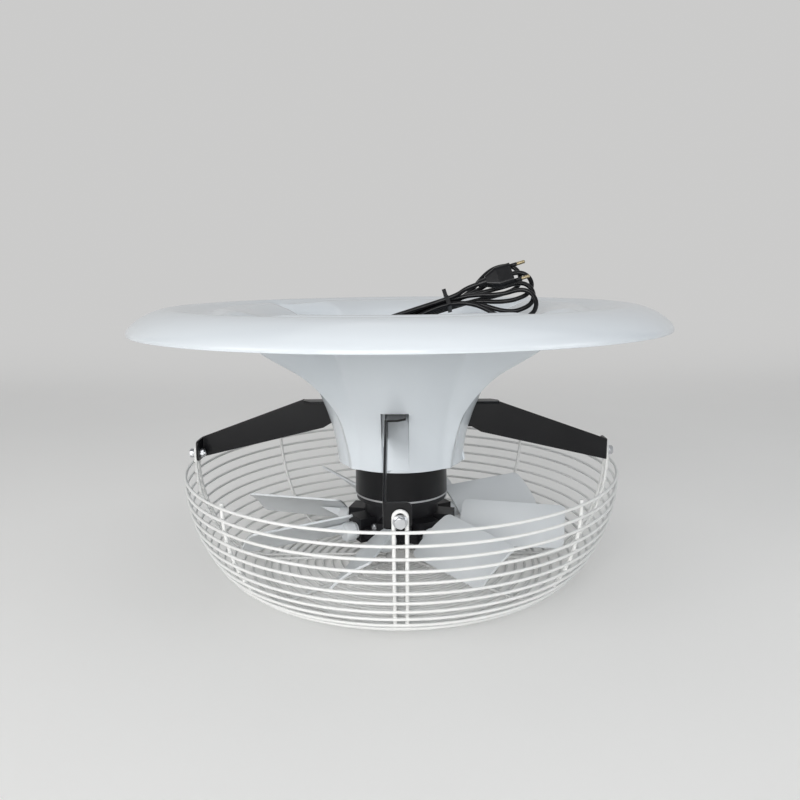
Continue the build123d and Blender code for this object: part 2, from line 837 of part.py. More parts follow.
with BuildPart() as hub_upper:
    add(turned([
        (lip_opening, hub_top), (hub_disc_radius, hub_top), (hub_disc_radius, hub_top - hub_flange),
        (hub_core_radius, hub_top - hub_flange), (hub_core_radius, split_upper + hub_ear),
        (hub_ring_radius, split_upper + hub_ear), (hub_ring_radius, split_upper),
        (hub_cavity_radius, split_upper),
        (hub_cavity_radius, hub_top - hub_floor), (lip_opening, hub_top - hub_floor),
    ]))
    for azimuth in blade_angles:
        add(clamp_block(azimuth, split_upper, blade_axis_height + clamp_rise))
    for azimuth in blade_angles:
        add(root_bore(azimuth), mode=Mode.SUBTRACT)
    with BuildSketch(level(0, 0, split_upper)):
        with PolarLocations(hub_bolt_circle, blade_count, start_angle=gap_angles[0]):
            Circle(m5 / 2 + hole_clearance)
    extrude(amount=hub_ear, mode=Mode.SUBTRACT)
    with BuildSketch(level(0, 0, hub_top)):
        with PolarLocations(hub_screw_circle, hub_screw_count):
            Circle(m5 / 2 + press_gap)
    extrude(amount=-hub_screw_depth, mode=Mode.SUBTRACT)
save(hub_upper.part, "hub_upper")

with BuildPart() as hub_lower:
    add(turned([
        (0, hub_bottom), (hub_core_radius, hub_bottom), (hub_core_radius, split_lower - hub_ear),
        (hub_ring_radius, split_lower - hub_ear), (hub_ring_radius, split_lower),
        (hub_cavity_radius, split_lower),
        (hub_cavity_radius, hub_bottom + hub_floor), (0, hub_bottom + hub_floor),
    ]))
    for azimuth in blade_angles:
        add(clamp_block(azimuth, blade_axis_height - clamp_drop, split_lower))
    for azimuth in blade_angles:
        add(root_bore(azimuth), mode=Mode.SUBTRACT)
    with BuildSketch(level(0, 0, split_lower)):
        with PolarLocations(hub_bolt_circle, blade_count, start_angle=gap_angles[0]):
            Circle(m5 / 2 + hole_clearance)
    extrude(amount=-hub_ear, mode=Mode.SUBTRACT)
save(hub_lower.part, "hub_lower")

hub_bolt_pieces = []
hub_nut_pieces = []
for azimuth in gap_angles:
    spot = radial(azimuth) * hub_bolt_circle
    seat = Plane(origin=(spot.X, spot.Y, split_lower - hub_ear), x_dir=radial(azimuth), z_dir=(0, 0, -1))
    length = 2 * hub_ear + split_gap + m5_nut + 1.5
    hub_bolt_pieces.append(bolt(seat, m5, m5_across_flats, m5_head, length))
    over = rotated(azimuth, hub_bolt_circle, split_upper + hub_ear)
    hub_nut_pieces.append(nut(over, m5, m5_across_flats, m5_nut))
group(hub_bolt_pieces, "hub_bolts")
group(hub_nut_pieces, "hub_nuts")

hub_screw_pieces = []
for i in range(hub_screw_count):
    spot = radial(360 / hub_screw_count * i) * hub_screw_circle
    length = end_plate + hub_screw_depth - 1
    seat = level(spot.X, spot.Y, bell_bottom)
    hub_screw_pieces.append(pan_screw(seat, m5, m5_across_flats, m5_head, length))
group(hub_screw_pieces, "hub_screws")


# Blades
def make_blade(azimuth):
    out = radial(azimuth)
    chord = tangent(azimuth) * cos(radians(blade_pitch)) + Vector(0, 0, sin(radians(blade_pitch)))
    normal = out.cross(chord)
    root = Vector(0, 0, blade_axis_height)
    low = blade_lift - 0.6 * blade_camber
    lower = low - blade_thickness
    high = blade_lift + 0.4 * blade_camber
    half = max(blade_root_high, -blade_root_low) + 3
    with BuildPart() as blade:
        with BuildSketch(Plane(origin=root + out * blade_root_radius, x_dir=chord, z_dir=out)):
            with BuildLine():
                ThreePointArc((-half, low), (0, high), (half, low))
                Line((half, low), (half, lower))
                ThreePointArc((half, lower), (0, high - blade_thickness), (-half, lower))
                Line((-half, lower), (-half, low))
            make_face()
        extrude(amount=blade_tip_radius - blade_root_radius)
        with BuildSketch(Plane(origin=root, x_dir=out, z_dir=normal)) as plan:
            Polygon(
                (blade_root_radius, blade_root_low), (blade_tip_radius, blade_tip_low),
                (blade_tip_radius, blade_tip_high), (blade_root_radius, blade_root_high), align=None,
            )
            fillet(plan.vertices(), blade_corner)
        extrude(amount=3 * blade_lift, mode=Mode.INTERSECT)
        with BuildSketch(Plane(origin=root - chord * (gusset_width / 2), x_dir=out, z_dir=chord * -1)):
            Polygon(
                (boss_outer - 2, 0), (boss_outer + gusset_reach, blade_lift), (boss_outer - 4, blade_lift),
                align=None,
            )
        extrude(amount=-gusset_width)
        boss = disc(Plane(origin=root + out * boss_inner, x_dir=chord, z_dir=out), boss_radius)
        extrude(boss, amount=boss_outer - boss_inner)
        spigot = disc(Plane(origin=root + out * spigot_inner, x_dir=chord, z_dir=out), spigot_radius)
        extrude(spigot, amount=boss_inner - spigot_inner)
        collar = disc(Plane(origin=root + out * spigot_inner, x_dir=chord, z_dir=out), spigot_collar)
        extrude(collar, amount=spigot_collar_length)
    return blade.part


for number, azimuth in enumerate(blade_angles, start=1):
    blade = make_blade(azimuth)
    save(blade, f"blade_{number}")

# Mounting plate and what stands on it
lug_screw_places = [radial(azimuth) * lug_screw_circle for azimuth in corner_angles]
arm_bolt_places = []
for azimuth in arm_angles:
    for reach in arm_bolt_radii:
        arm_bolt_places.append(radial(azimuth) * reach + tangent(azimuth) * arm_bolt_offset)
strap_outer = cap_radius + strap_thickness
foot_middle = strap_outer + strap_foot / 2
strap_screw_places = [(cap_x - foot_middle, strap_y), (cap_x + foot_middle, strap_y)]
with BuildPart() as mounting_plate:
    with BuildSketch(level(0, 0, plate_bottom)):
        Circle(plate_radius)
        Circle(rod_radius + hole_clearance, mode=Mode.SUBTRACT)
        with Locations(*arm_bolt_places):
            Circle(m6 / 2 + hole_clearance, mode=Mode.SUBTRACT)
        with Locations(*spacer_places):
            Circle(m6 / 2 + hole_clearance, mode=Mode.SUBTRACT)
        with Locations(*lug_screw_places):
            Circle(m5 / 2 + press_gap, mode=Mode.SUBTRACT)
        with Locations(*box_leg_places):
            Circle(m4 / 2 + hole_clearance, mode=Mode.SUBTRACT)
        with Locations(*strap_screw_places):
            Circle(m4 / 2 + press_gap, mode=Mode.SUBTRACT)
        with Locations((0, lead_hole_x)):
            Circle(lead_hole / 2, mode=Mode.SUBTRACT)
    extrude(amount=plate_thickness)
save(mounting_plate.part, "mounting_plate")

lug_screw_pieces = []
for spot in lug_screw_places:
    seat = level(spot.X, spot.Y, plate_top + lug_thickness)
    length = lug_thickness + plate_thickness + 2
    lug_screw_pieces.append(pan_screw(seat, m5, m5_across_flats + 1, m5_head, length))
group(lug_screw_pieces, "lug_screws")

box_bottom = plate_top + standing_gap
box_top = box_bottom + box_height
lid_places = []
for along in (-1, 1):
    for across in (-1, 1):
        x = box_x + along * (box_length / 2 - lid_screw_inset)
        lid_places.append((x, across * (box_width / 2 - lid_screw_inset)))
with BuildPart() as terminal_box:
    with BuildSketch(level(0, 0, box_bottom)):
        with Locations((box_x, 0)):
            RectangleRounded(box_length, box_width, 4)
    extrude(amount=box_height)
    with BuildSketch(level(0, 0, box_bottom + box_wall)):
        with Locations((box_x, 0)):
            RectangleRounded(box_length - 2 * box_wall, box_width - 2 * box_wall, 2)
    extrude(amount=box_height, mode=Mode.SUBTRACT)
    with BuildSketch(level(0, 0, box_bottom)):
        with Locations(*lid_places):
            Rectangle(lid_post, lid_post)
    extrude(amount=box_height)
    with BuildSketch(level(0, 0, plate_top)):
        with Locations(*box_leg_places):
            Rectangle(box_leg, box_leg)
    extrude(amount=standing_gap + box_wall)
    with BuildSketch(level(0, 0, plate_top)):
        with Locations(*box_leg_places):
            Circle(m4 / 2 + press_gap)
    extrude(amount=standing_gap, mode=Mode.SUBTRACT)
    with BuildSketch(level(0, 0, box_top)):
        with Locations(*lid_places):
            Circle(m4 / 2 + press_gap)
    extrude(amount=-10, mode=Mode.SUBTRACT)
save(terminal_box.part, "terminal_box")

box_screw_pieces = []
for x, y in box_leg_places:
    seat = Plane(origin=(x, y, plate_bottom), x_dir=(1, 0, 0), z_dir=(0, 0, -1))
    length = plate_thickness + standing_gap - 2
    box_screw_pieces.append(pan_screw(seat, m4, m4_head, m4_head_height, length))
group(box_screw_pieces, "box_screws")

gland_stub = 0.75 * gland_radius
gland_flats = 2 * gland_radius + 2
lid_top = box_top + lid_thickness
with BuildPart() as box_lid:
    with BuildSketch(level(0, 0, box_top)):
        with Locations((box_x, 0)):
            RectangleRounded(box_length, box_width, 4)
        with Locations((gland_x, gland_y)):
            Circle(gland_stub + hole_clearance, mode=Mode.SUBTRACT)
        with Locations(*lid_places):
            Circle(m4 / 2 + hole_clearance, mode=Mode.SUBTRACT)
    extrude(amount=lid_thickness)
save(box_lid.part, "box_lid")

lid_screw_pieces = []
for x, y in lid_places:
    lid_screw_pieces.append(pan_screw(level(x, y, lid_top), m4, m4_head, m4_head_height, lid_thickness + 8))
group(lid_screw_pieces, "lid_screws")

boot_bottom = lid_top + gland_hex_height
gland_top = boot_bottom + boot_length
with BuildPart() as cord_gland:
    extrude(disc(level(gland_x, gland_y, lid_top - lid_thickness - 6), gland_stub), amount=lid_thickness + 6)
    extrude(hexagon(level(gland_x, gland_y, lid_top), gland_flats), amount=gland_hex_height)
    with BuildSketch(level(gland_x, gland_y, boot_bottom)):
        Circle(gland_radius)
    with BuildSketch(level(gland_x, gland_y, gland_top)):
        Circle(cord / 2 + boot_wall)
    loft()
save(cord_gland.part, "cord_gland")
save(nut(level(gland_x, gland_y, box_top - 4), 2 * gland_stub, gland_flats, 4), "gland_nut")

cap_height = plate_top + standing_gap + cap_radius + 1
cap_start = Plane(origin=(cap_x, cap_y - cap_length / 2, cap_height), x_dir=(1, 0, 0), z_dir=(0, 1, 0))
with BuildPart() as capacitor:
    extrude(disc(cap_start, cap_radius), amount=cap_length)
    with BuildSketch(cap_start.offset(cap_length)):
        with Locations((-5, 0), (5, 0)):
            Rectangle(0.8, 6.3)
    extrude(amount=8)
save(capacitor.part, "capacitor")

strap_end = Plane(origin=(cap_x, strap_y - strap_width / 2, cap_height), x_dir=(1, 0, 0), z_dir=(0, -1, 0))
drop = cap_height - plate_top
with BuildPart() as capacitor_strap:
    with BuildSketch(strap_end):
        Circle(strap_outer)
        for side in (-1, 1):
            with Locations((side * (strap_outer - strap_thickness / 2), -drop / 2)):
                Rectangle(strap_thickness, drop)
            with Locations((side * foot_middle, -drop + strap_thickness / 2)):
                Rectangle(strap_foot, strap_thickness)
        Circle(cap_radius + press_gap, mode=Mode.SUBTRACT)
    extrude(amount=-strap_width)
    with BuildSketch(level(0, 0, plate_top)):
        with Locations(*strap_screw_places):
            Circle(m4 / 2 + hole_clearance)
    extrude(amount=strap_thickness, mode=Mode.SUBTRACT)
save(capacitor_strap.part, "capacitor_strap")

strap_screw_pieces = []
for x, y in strap_screw_places:
    seat = level(x, y, plate_top + strap_thickness)
    length = strap_thickness + plate_thickness + 2
    strap_screw_pieces.append(pan_screw(seat, m4, m4_head, m4_head_height, length))
group(strap_screw_pieces, "strap_screws")

# Hanging eye
with BuildPart() as hanging_eye:
    extrude(disc(level(0, 0, rod_bottom), rod_radius), amount=eye_height - eye_radius - rod_bottom)
    extrude(disc(level(0, 0, plate_top), 2.2 * rod_radius), amount=4)
    with Locations(Location((0, 0, eye_height), (90, 0, 0))):
        Torus(eye_radius, eye_wire / 2)
        Cylinder(eye_bore, eye_wire, mode=Mode.SUBTRACT)
save(hanging_eye.part, "hanging_eye")
save(nut(level(0, 0, plate_bottom - rod_nut_height), 2 * rod_radius, rod_nut, rod_nut_height), "eye_nut")

# Mains cord: the hank's own directions, along it, up its loops and towards the front
hank_along = Vector(cos(radians(hank_tilt)), 0, sin(radians(hank_tilt)))
hank_up = Vector(-sin(radians(hank_tilt)), 0, cos(radians(hank_tilt))) * cos(radians(hank_lean))
hank_up = hank_up + Vector(0, sin(radians(hank_lean)), 0)
hank_front = hank_along.cross(hank_up)


def hank_point(along, up, front):
    return Vector(*hank_middle) + hank_along * along + hank_up * up + hank_front * front


# Every strand keeps its own layer: strand 0 is the first and lies at the back
strand_count = 2 * len(right_lobes) + 2
middle_strand = (strand_count - 1) / 2


def waist_layer(strand):
    return (strand - middle_strand) * waist_pitch


def lobe_layer(strand):
    return (strand - middle_strand) * lobe_pitch


# The hank's stations: (along, up, front) where the cord runs straight along the hank
stations = [(first_strand_start[0], first_strand_start[1], waist_layer(0) - 2.0)]
stations.append((first_strand_start[0] - end_straight, first_strand_start[1], waist_layer(0) - 2.0))
for number, (left, low, high) in enumerate(left_lobes):
    strand = 2 * number
    stations.append((left, low, lobe_layer(strand)))
    stations.append((left, high, lobe_layer(strand + 1)))
    stations.append((-waist_half, waist_side, waist_layer(strand + 1)))
    stations.append((waist_half, waist_side, waist_layer(strand + 1)))
    if number < len(right_lobes):
        right, top, bottom = right_lobes[number]
        stations.append((right, top, lobe_layer(strand + 1)))
        stations.append((right, bottom, lobe_layer(strand + 2)))
        stations.append((waist_half, -waist_side, waist_layer(strand + 2)))
        stations.append((-waist_half, -waist_side, waist_layer(strand + 2)))
stations.append(last_strand_end)
stations.append((last_strand_end[0] + end_straight, last_strand_end[1], last_strand_end[2]))


def arc_through(start, end, way, rise, share):
    """Point at a share of the arc that leaves the start along the way and ends at the end."""
    run = (end - start).dot(way)
    radius = (run**2 + rise.length**2) / (2 * rise.length)
    angle = 2 * atan2(rise.length, abs(run)) * share
    forward = way * (radius * sin(angle) * (1 if run > 0 else -1))
    return start + forward + rise.normalized() * (radius * (1 - cos(angle)))


def hank_pieces():
    """The hank's line as (kind, start, middle, end) in its own order: runs, biarcs and half turns."""
    pieces = []
    for here, there in zip(stations, stations[1:]):
        start, end = hank_point(*here), hank_point(*there)
        rise = hank_up * (there[1] - here[1]) + hank_front * (there[2] - here[2])
        if here[0] == there[0]:
            middle = (start + end) / 2
            outward = 1 if here[0] > 0 else -1
            pieces.append(("arc", start, middle + hank_along * (outward * rise.length / 2), end))
        elif rise.length < 1e-6:
            pieces.append(("run", start, (start + end) / 2, end))
        else:
            middle = (start + end) / 2
            first = arc_through(start, middle, hank_along, rise / 2, 0.5)
            second = arc_through(end, middle, hank_along, rise / -2, 0.5)
            pieces.append(("arc", start, first, middle))
            pieces.append(("arc", middle, second, end))
    return pieces


def least_gap(line):
    """Least gap of the hank to itself, among points that lie well apart along its line."""
    points = []
    run = 0.0
    for kind, start, middle, end in line:
        piece = Line(start, end) if kind == "run" else ThreePointArc(start, middle, end)
        steps = max(1, round(piece.length / gap_step))
        for step in range(steps):
            spot = piece @ (step / steps)
            points.append((run + piece.length * step / steps, spot.X, spot.Y, spot.Z))
        run += piece.length
    least = run
    for i, (here, x, y, z) in enumerate(points):
        for there, x2, y2, z2 in points[i + 1:]:
            if there - here > gap_apart and abs(x2 - x) < least and abs(z2 - z) < least:
                least = min(least, hypot(x2 - x, y2 - y, z2 - z))
    return least - cord


hank_line = hank_pieces()
print(f"least gap of the hank to itself: {least_gap(hank_line):.2f} mm")
with BuildPart() as cord_hank:
    with BuildLine():
        for kind, start, middle, end in hank_line:
            if kind == "run":
                Line(start, end)
            else:
                ThreePointArc(start, middle, end)
    with BuildSketch(Plane(origin=hank_line[0][1], z_dir=hank_along * -1)):
        Circle(cord / 2)
    sweep()
save(cord_hank.part, "cord_hank")
free_start = Vector(gland_x, gland_y, gland_top)
free_end = hank_line[0][1]
free_points = [free_start] + [Vector(*corner) for corner in free_corners]
free_points += [free_end + hank_along * free_last_run, free_end]


def corner_radii(points):
    radii = []
    for before, here, after in zip(points, points[1:], points[2:]):
        one, two = here - before, after - here
        half = radians(one.get_angle(two)) / 2
        radii.append(0.45 * min(one.length, two.length) / tan(half))
    return radii


with BuildPart() as mains_cord:
    with BuildLine():
        FilletPolyline(*free_points, radius=corner_radii(free_points))
    with BuildSketch(Plane(origin=free_start, z_dir=(0, 0, 1))):
        Circle(cord / 2)
    sweep()
save(mains_cord.part, "mains_cord")

# Cable tie round the hank's waist
tie_layers = (waist_layer(1) + waist_layer(strand_count - 1)) / 2
tie_up = waist_side + cord / 2
tie_front = waist_layer(strand_count - 1) - tie_layers + cord / 2
tie_plane = Plane(
    origin=hank_point(-tie_width / 2, 0, tie_layers), x_dir=hank_front * -1, z_dir=hank_along,
)
with BuildPart() as cable_tie:
    with BuildSketch(tie_plane):
        RectangleRounded(2 * (tie_front + tie_thickness), 2 * (tie_up + tie_thickness), 3)
        RectangleRounded(2 * tie_front, 2 * tie_up, 1.8, mode=Mode.SUBTRACT)
        with Locations((0, tie_up + tie_head / 2 + 0.5 * tie_thickness)):
            Rectangle(tie_head, tie_head)
        with Locations((-tie_head / 2 + tie_thickness / 2, tie_up + tie_head + tie_tail / 2)):
            Rectangle(tie_thickness, tie_tail)
    extrude(amount=tie_width)
save(cable_tie.part, "cable_tie")

# Plug on the hank's free end
plug_start = last_strand_end[0] + end_straight


def plug_plane(along):
    return Plane(
        origin=hank_point(along, last_strand_end[1], last_strand_end[2]), x_dir=hank_up, z_dir=hank_along,
    )


with BuildPart() as plug:
    with BuildSketch(plug_plane(plug_start)):
        Circle(cord / 2 + 1.2)
    with BuildSketch(plug_plane(plug_start + plug_sleeve)):
        Circle(cord / 2 + 2.2)
    loft()
    with BuildSketch(plug_plane(plug_start + plug_sleeve)):
        RectangleRounded(0.5 * plug_wide, 0.8 * plug_thick, 4)
    with BuildSketch(plug_plane(plug_start + plug_sleeve + 0.45 * plug_length)):
        RectangleRounded(plug_wide, plug_thick, 5)
    loft()
    with BuildSketch(plug_plane(plug_start + plug_sleeve + 0.45 * plug_length)):
        RectangleRounded(plug_wide, plug_thick, 5)
    extrude(amount=0.55 * plug_length)
save(plug.part, "plug")

pin_pieces = []
for side in (-1, 1):
    seat = plug_plane(plug_start + plug_sleeve + plug_length)
    spot = seat.origin + hank_up * (side * pin_spacing / 2)
    with BuildPart() as pin:
        extrude(disc(Plane(origin=spot, x_dir=hank_up, z_dir=hank_along), pin_radius), amount=pin_length)
        chamfer(pin.faces().sort_by(Axis(spot, hank_along))[-1].edges(), 0.6)
    pin_pieces.append(pin.part)
group(pin_pieces, "plug_pins")
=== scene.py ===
# %% [markdown]
# # Hanging circulation fan
# The fan stands on its wire guard, the way it is set down before it is hung up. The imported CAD
# model gives every piece its place. This notebook adds the camera, the floor, the light, the
# finishes, and the pieces whose look needs more than the CAD solids hold: the moulded diffuser,
# the coated wires and the black mains cord.

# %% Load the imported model
import json
import math

import bmesh
import bpy
from mathutils import Matrix, Vector


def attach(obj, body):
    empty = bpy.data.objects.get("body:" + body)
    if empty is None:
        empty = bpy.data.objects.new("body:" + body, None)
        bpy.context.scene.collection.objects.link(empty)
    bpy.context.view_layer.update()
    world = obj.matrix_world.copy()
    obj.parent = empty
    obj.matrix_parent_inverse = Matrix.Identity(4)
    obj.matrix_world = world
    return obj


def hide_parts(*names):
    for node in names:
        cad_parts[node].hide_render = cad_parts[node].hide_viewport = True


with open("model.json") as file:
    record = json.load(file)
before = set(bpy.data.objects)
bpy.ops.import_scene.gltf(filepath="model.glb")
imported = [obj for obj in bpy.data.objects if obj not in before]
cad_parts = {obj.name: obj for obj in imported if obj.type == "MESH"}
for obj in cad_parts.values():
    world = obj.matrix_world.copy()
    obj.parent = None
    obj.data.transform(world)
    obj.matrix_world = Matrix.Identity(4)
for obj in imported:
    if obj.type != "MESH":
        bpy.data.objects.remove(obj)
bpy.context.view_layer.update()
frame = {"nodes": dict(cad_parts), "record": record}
nodes = frame["nodes"]

# %% [markdown]
# ## Camera
# The photograph looks at the fan from a little above the dish, from the front. The place, the
# tilt and the focal length were worked out from the dish's rim, the neck and the guard's rings,
# so the camera can be set in numbers and needs no aiming at anything.

# %% Camera
photo_side = 800
focal_px = 711.8
sensor_mm = 36.0
camera_place = Vector((-0.0006, -0.8825, 0.3689))
camera_down = 0.1758
camera_roll = 0.010

camera_data = bpy.data.cameras.new("photo_camera")
camera_data.sensor_width = sensor_mm
camera_data.lens = focal_px * sensor_mm / photo_side
camera_data.clip_start = 0.05
camera = bpy.data.objects.new("photo_camera", camera_data)
tilt = Matrix.Rotation(math.radians(90) - camera_down, 4, "X")
roll = Matrix.Rotation(-camera_roll, 4, "Z")
camera.matrix_world = Matrix.Translation(camera_place) @ (tilt @ roll)
bpy.context.scene.collection.objects.link(camera)
bpy.context.scene.camera = camera
print("lens:", round(camera_data.lens, 2), "mm")

# %% [markdown]
# ## Material helpers
# Every finish here is a Principled shader with a little life in it: the colour drifts slowly,
# the roughness breaks up, and a fine bump catches the light. Object coordinates are in metres
# and don't move with the camera, so the grain stays on the piece.

# %% Material helpers


def new_material(name, roughness, metallic=0.0, coat=0.0, specular=0.5):
    """A material with its Principled shader, and its texture coordinates ready to use."""
    material = bpy.data.materials.new(name)
    material.use_nodes = True
    tree = material.node_tree
    shader = tree.nodes["Principled BSDF"]
    shader.inputs["Roughness"].default_value = roughness
    shader.inputs["Metallic"].default_value = metallic
    shader.inputs["Coat Weight"].default_value = coat
    shader.inputs["Coat Roughness"].default_value = 0.08
    shader.inputs["Specular IOR Level"].default_value = specular
    place = tree.nodes.new("ShaderNodeTexCoord")
    place.name = "place"
    return material


def add_noise(material, scale, detail, name):
    """A noise texture on the piece's own coordinates, in metres."""
    tree = material.node_tree
    noise = tree.nodes.new("ShaderNodeTexNoise")
    noise.name = name
    noise.inputs["Scale"].default_value = scale
    noise.inputs["Detail"].default_value = detail
    tree.links.new(tree.nodes["place"].outputs["Object"], noise.inputs["Vector"])
    return noise


def colour_drift(material, low, high, scale):
    """The colour wanders between two near shades."""
    tree = material.node_tree
    noise = add_noise(material, scale, 3.0, "drift")
    ramp = tree.nodes.new("ShaderNodeValToRGB")
    ramp.color_ramp.elements[0].position = 0.3
    ramp.color_ramp.elements[0].color = (*low, 1)
    ramp.color_ramp.elements[1].position = 0.7
    ramp.color_ramp.elements[1].color = (*high, 1)
    tree.links.new(noise.outputs["Fac"], ramp.inputs["Fac"])
    tree.links.new(ramp.outputs["Color"], tree.nodes["Principled BSDF"].inputs["Base Color"])


def roughness_drift(material, low, high, scale):
    """The gloss wanders between two roughnesses."""
    tree = material.node_tree
    noise = add_noise(material, scale, 4.0, "sheen")
    spread = tree.nodes.new("ShaderNodeMapRange")
    spread.inputs["To Min"].default_value = low
    spread.inputs["To Max"].default_value = high
    tree.links.new(noise.outputs["Fac"], spread.inputs["Value"])
    tree.links.new(spread.outputs["Result"], tree.nodes["Principled BSDF"].inputs["Roughness"])


def fine_bump(material, scale, depth, strength):
    """A fine grain, given by its scale, its depth in metres and its strength."""
    tree = material.node_tree
    noise = add_noise(material, scale, 2.0, "grain")
    bump = tree.nodes.new("ShaderNodeBump")
    bump.inputs["Strength"].default_value = strength
    bump.inputs["Distance"].default_value = depth
    tree.links.new(noise.outputs["Fac"], bump.inputs["Height"])
    tree.links.new(bump.outputs["Normal"], tree.nodes["Principled BSDF"].inputs["Normal"])


# %% [markdown]
# ## Finishes
# The dish and the neck are moulded in a cool white plastic with a soft gloss. The guard's wires
# carry a warmer white powder coat, which pools a little and shows an orange-peel texture. The
# arms, the motor drum and the hub are black. Bolts and nuts are bright zinc.

# %% Finishes
white_plastic = new_material("white_plastic", 0.22, coat=0.25)
colour_drift(white_plastic, (0.72, 0.765, 0.80), (0.755, 0.795, 0.83), 2.2)
roughness_drift(white_plastic, 0.17, 0.27, 9.0)
fine_bump(white_plastic, 420.0, 0.00012, 0.12)

white_coating = new_material("white_coating", 0.36)
colour_drift(white_coating, (0.84, 0.84, 0.82), (0.89, 0.89, 0.875), 35.0)
roughness_drift(white_coating, 0.30, 0.46, 60.0)
fine_bump(white_coating, 900.0, 0.0003, 0.25)

black_paint = new_material("black_paint", 0.3, coat=0.06, specular=0.25)
colour_drift(black_paint, (0.004, 0.004, 0.005), (0.008, 0.008, 0.009), 12.0)
roughness_drift(black_paint, 0.26, 0.38, 30.0)
fine_bump(black_paint, 650.0, 0.0003, 0.18)

black_plastic = new_material("black_plastic", 0.42, specular=0.28)
colour_drift(black_plastic, (0.006, 0.006, 0.007), (0.013, 0.013, 0.015), 25.0)
roughness_drift(black_plastic, 0.34, 0.5, 40.0)
fine_bump(black_plastic, 1500.0, 0.0002, 0.3)

blade_plastic = new_material("blade_plastic", 0.35)
colour_drift(blade_plastic, (0.76, 0.785, 0.80), (0.80, 0.82, 0.835), 6.0)
roughness_drift(blade_plastic, 0.3, 0.42, 20.0)
fine_bump(blade_plastic, 700.0, 0.0002, 0.15)

bright_zinc = new_material("bright_zinc", 0.28, metallic=1.0)
colour_drift(bright_zinc, (0.55, 0.56, 0.58), (0.68, 0.69, 0.70), 120.0)
roughness_drift(bright_zinc, 0.2, 0.42, 160.0)
fine_bump(bright_zinc, 800.0, 0.0002, 0.2)

cast_aluminium = new_material("cast_aluminium", 0.4, metallic=1.0)
colour_drift(cast_aluminium, (0.5, 0.5, 0.51), (0.62, 0.62, 0.63), 80.0)
roughness_drift(cast_aluminium, 0.32, 0.55, 120.0)
fine_bump(cast_aluminium, 500.0, 0.0004, 0.3)

ground_steel = new_material("ground_steel", 0.22, metallic=1.0)
colour_drift(ground_steel, (0.45, 0.45, 0.47), (0.58, 0.58, 0.60), 90.0)
roughness_drift(ground_steel, 0.16, 0.3, 200.0)
fine_bump(ground_steel, 1200.0, 0.0001, 0.15)

sheet_stack = new_material("sheet_stack", 0.45, metallic=0.8)
colour_drift(sheet_stack, (0.10, 0.10, 0.11), (0.17, 0.17, 0.18), 60.0)
fine_bump(sheet_stack, 900.0, 0.0003, 0.3)

enamelled_copper = new_material("enamelled_copper", 0.3, metallic=0.9)
colour_drift(enamelled_copper, (0.42, 0.16, 0.06), (0.58, 0.25, 0.10), 50.0)
fine_bump(enamelled_copper, 700.0, 0.0005, 0.5)

capacitor_case = new_material("capacitor_case", 0.4)
colour_drift(capacitor_case, (0.62, 0.62, 0.58), (0.68, 0.68, 0.64), 20.0)
fine_bump(capacitor_case, 900.0, 0.0002, 0.2)

cord_sheath = new_material("cord_sheath", 0.34, coat=0.06, specular=0.28)
colour_drift(cord_sheath, (0.004, 0.004, 0.005), (0.009, 0.009, 0.010), 60.0)
roughness_drift(cord_sheath, 0.24, 0.40, 90.0)
fine_bump(cord_sheath, 1400.0, 0.0002, 0.25)

brass_pin = new_material("brass_pin", 0.36, metallic=1.0)
colour_drift(brass_pin, (0.40, 0.33, 0.20), (0.47, 0.39, 0.25), 40.0)
roughness_drift(brass_pin, 0.3, 0.42, 90.0)

finish_of_slot = {
    "white_plastic": white_plastic,
    "black_paint": black_paint,
    "zinc": bright_zinc,
    "white_coating": white_coating,
    "aluminium": cast_aluminium,
    "bearing_steel": ground_steel,
    "lamination": sheet_stack,
    "copper": enamelled_copper,
    "black_plastic": black_plastic,
    "grey_plastic": blade_plastic,
    "capacitor_case": capacitor_case,
    "cord_sheath": cord_sheath,
    "brass": brass_pin,
}
for part in frame["record"]["subparts"]:
    piece = nodes[part["node"]]
    piece.data.materials.clear()
    piece.data.materials.append(finish_of_slot[part["material_slot"]])
    piece.data.shade_smooth()
    piece.data.set_sharp_from_angle(angle=math.radians(30))
print("finishes:", len(finish_of_slot))

# %% [markdown]
# ## Helpers for the pieces
# Most pieces below are meshes made point by point. Each is then put on the body that it moves
# with, gets its finish, and has its sharp edges rounded a little by a bevel: real moulded and
# painted edges always catch a thin line of light.

# %% Piece helpers


def place_mesh(name, build, slot_name, body="frame", closed=True):
    """Put a finished bmesh in the scene as a smooth piece on one of the bodies."""
    bmesh.ops.remove_doubles(build, verts=build.verts, dist=1e-6)
    if closed:
        bmesh.ops.recalc_face_normals(build, faces=build.faces)
    mesh = bpy.data.meshes.new(name)
    build.to_mesh(mesh)
    build.free()
    mesh.shade_smooth()
    mesh.materials.append(finish_of_slot[slot_name])
    piece = bpy.data.objects.new(name, mesh)
    bpy.context.scene.collection.objects.link(piece)
    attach(piece, body)
    return piece


def soften(piece, width, segments=2, angle=40):
    """Round the sharp edges a little and keep the flat faces flat to the eye."""
    bevel = piece.modifiers.new("soft_edges", "BEVEL")
    bevel.width = width
    bevel.segments = segments
    bevel.limit_method = "ANGLE"
    bevel.angle_limit = math.radians(angle)
    shade = piece.modifiers.new("even_shade", "WEIGHTED_NORMAL")
    shade.keep_sharp = True


def around(azimuth, reach, side, height):
    """A point given along and across an azimuth's direction."""
    turn = math.radians(azimuth)
    x = reach * math.cos(turn) - side * math.sin(turn)
    return Vector((x, reach * math.sin(turn) + side * math.cos(turn), height))


def add_grid(build, rows, around_too=False):
    """Join rows of points with four-sided faces, and close them into a tube if asked."""
    verts = [[build.verts.new(point) for point in row] for row in rows]
    for near, far in zip(verts, verts[1:]):
        for i in range(len(near) - 1):
            build.faces.new((near[i], near[i + 1], far[i + 1], far[i]))
        if around_too:
            build.faces.new((near[-1], near[0], far[0], far[-1]))
    return verts


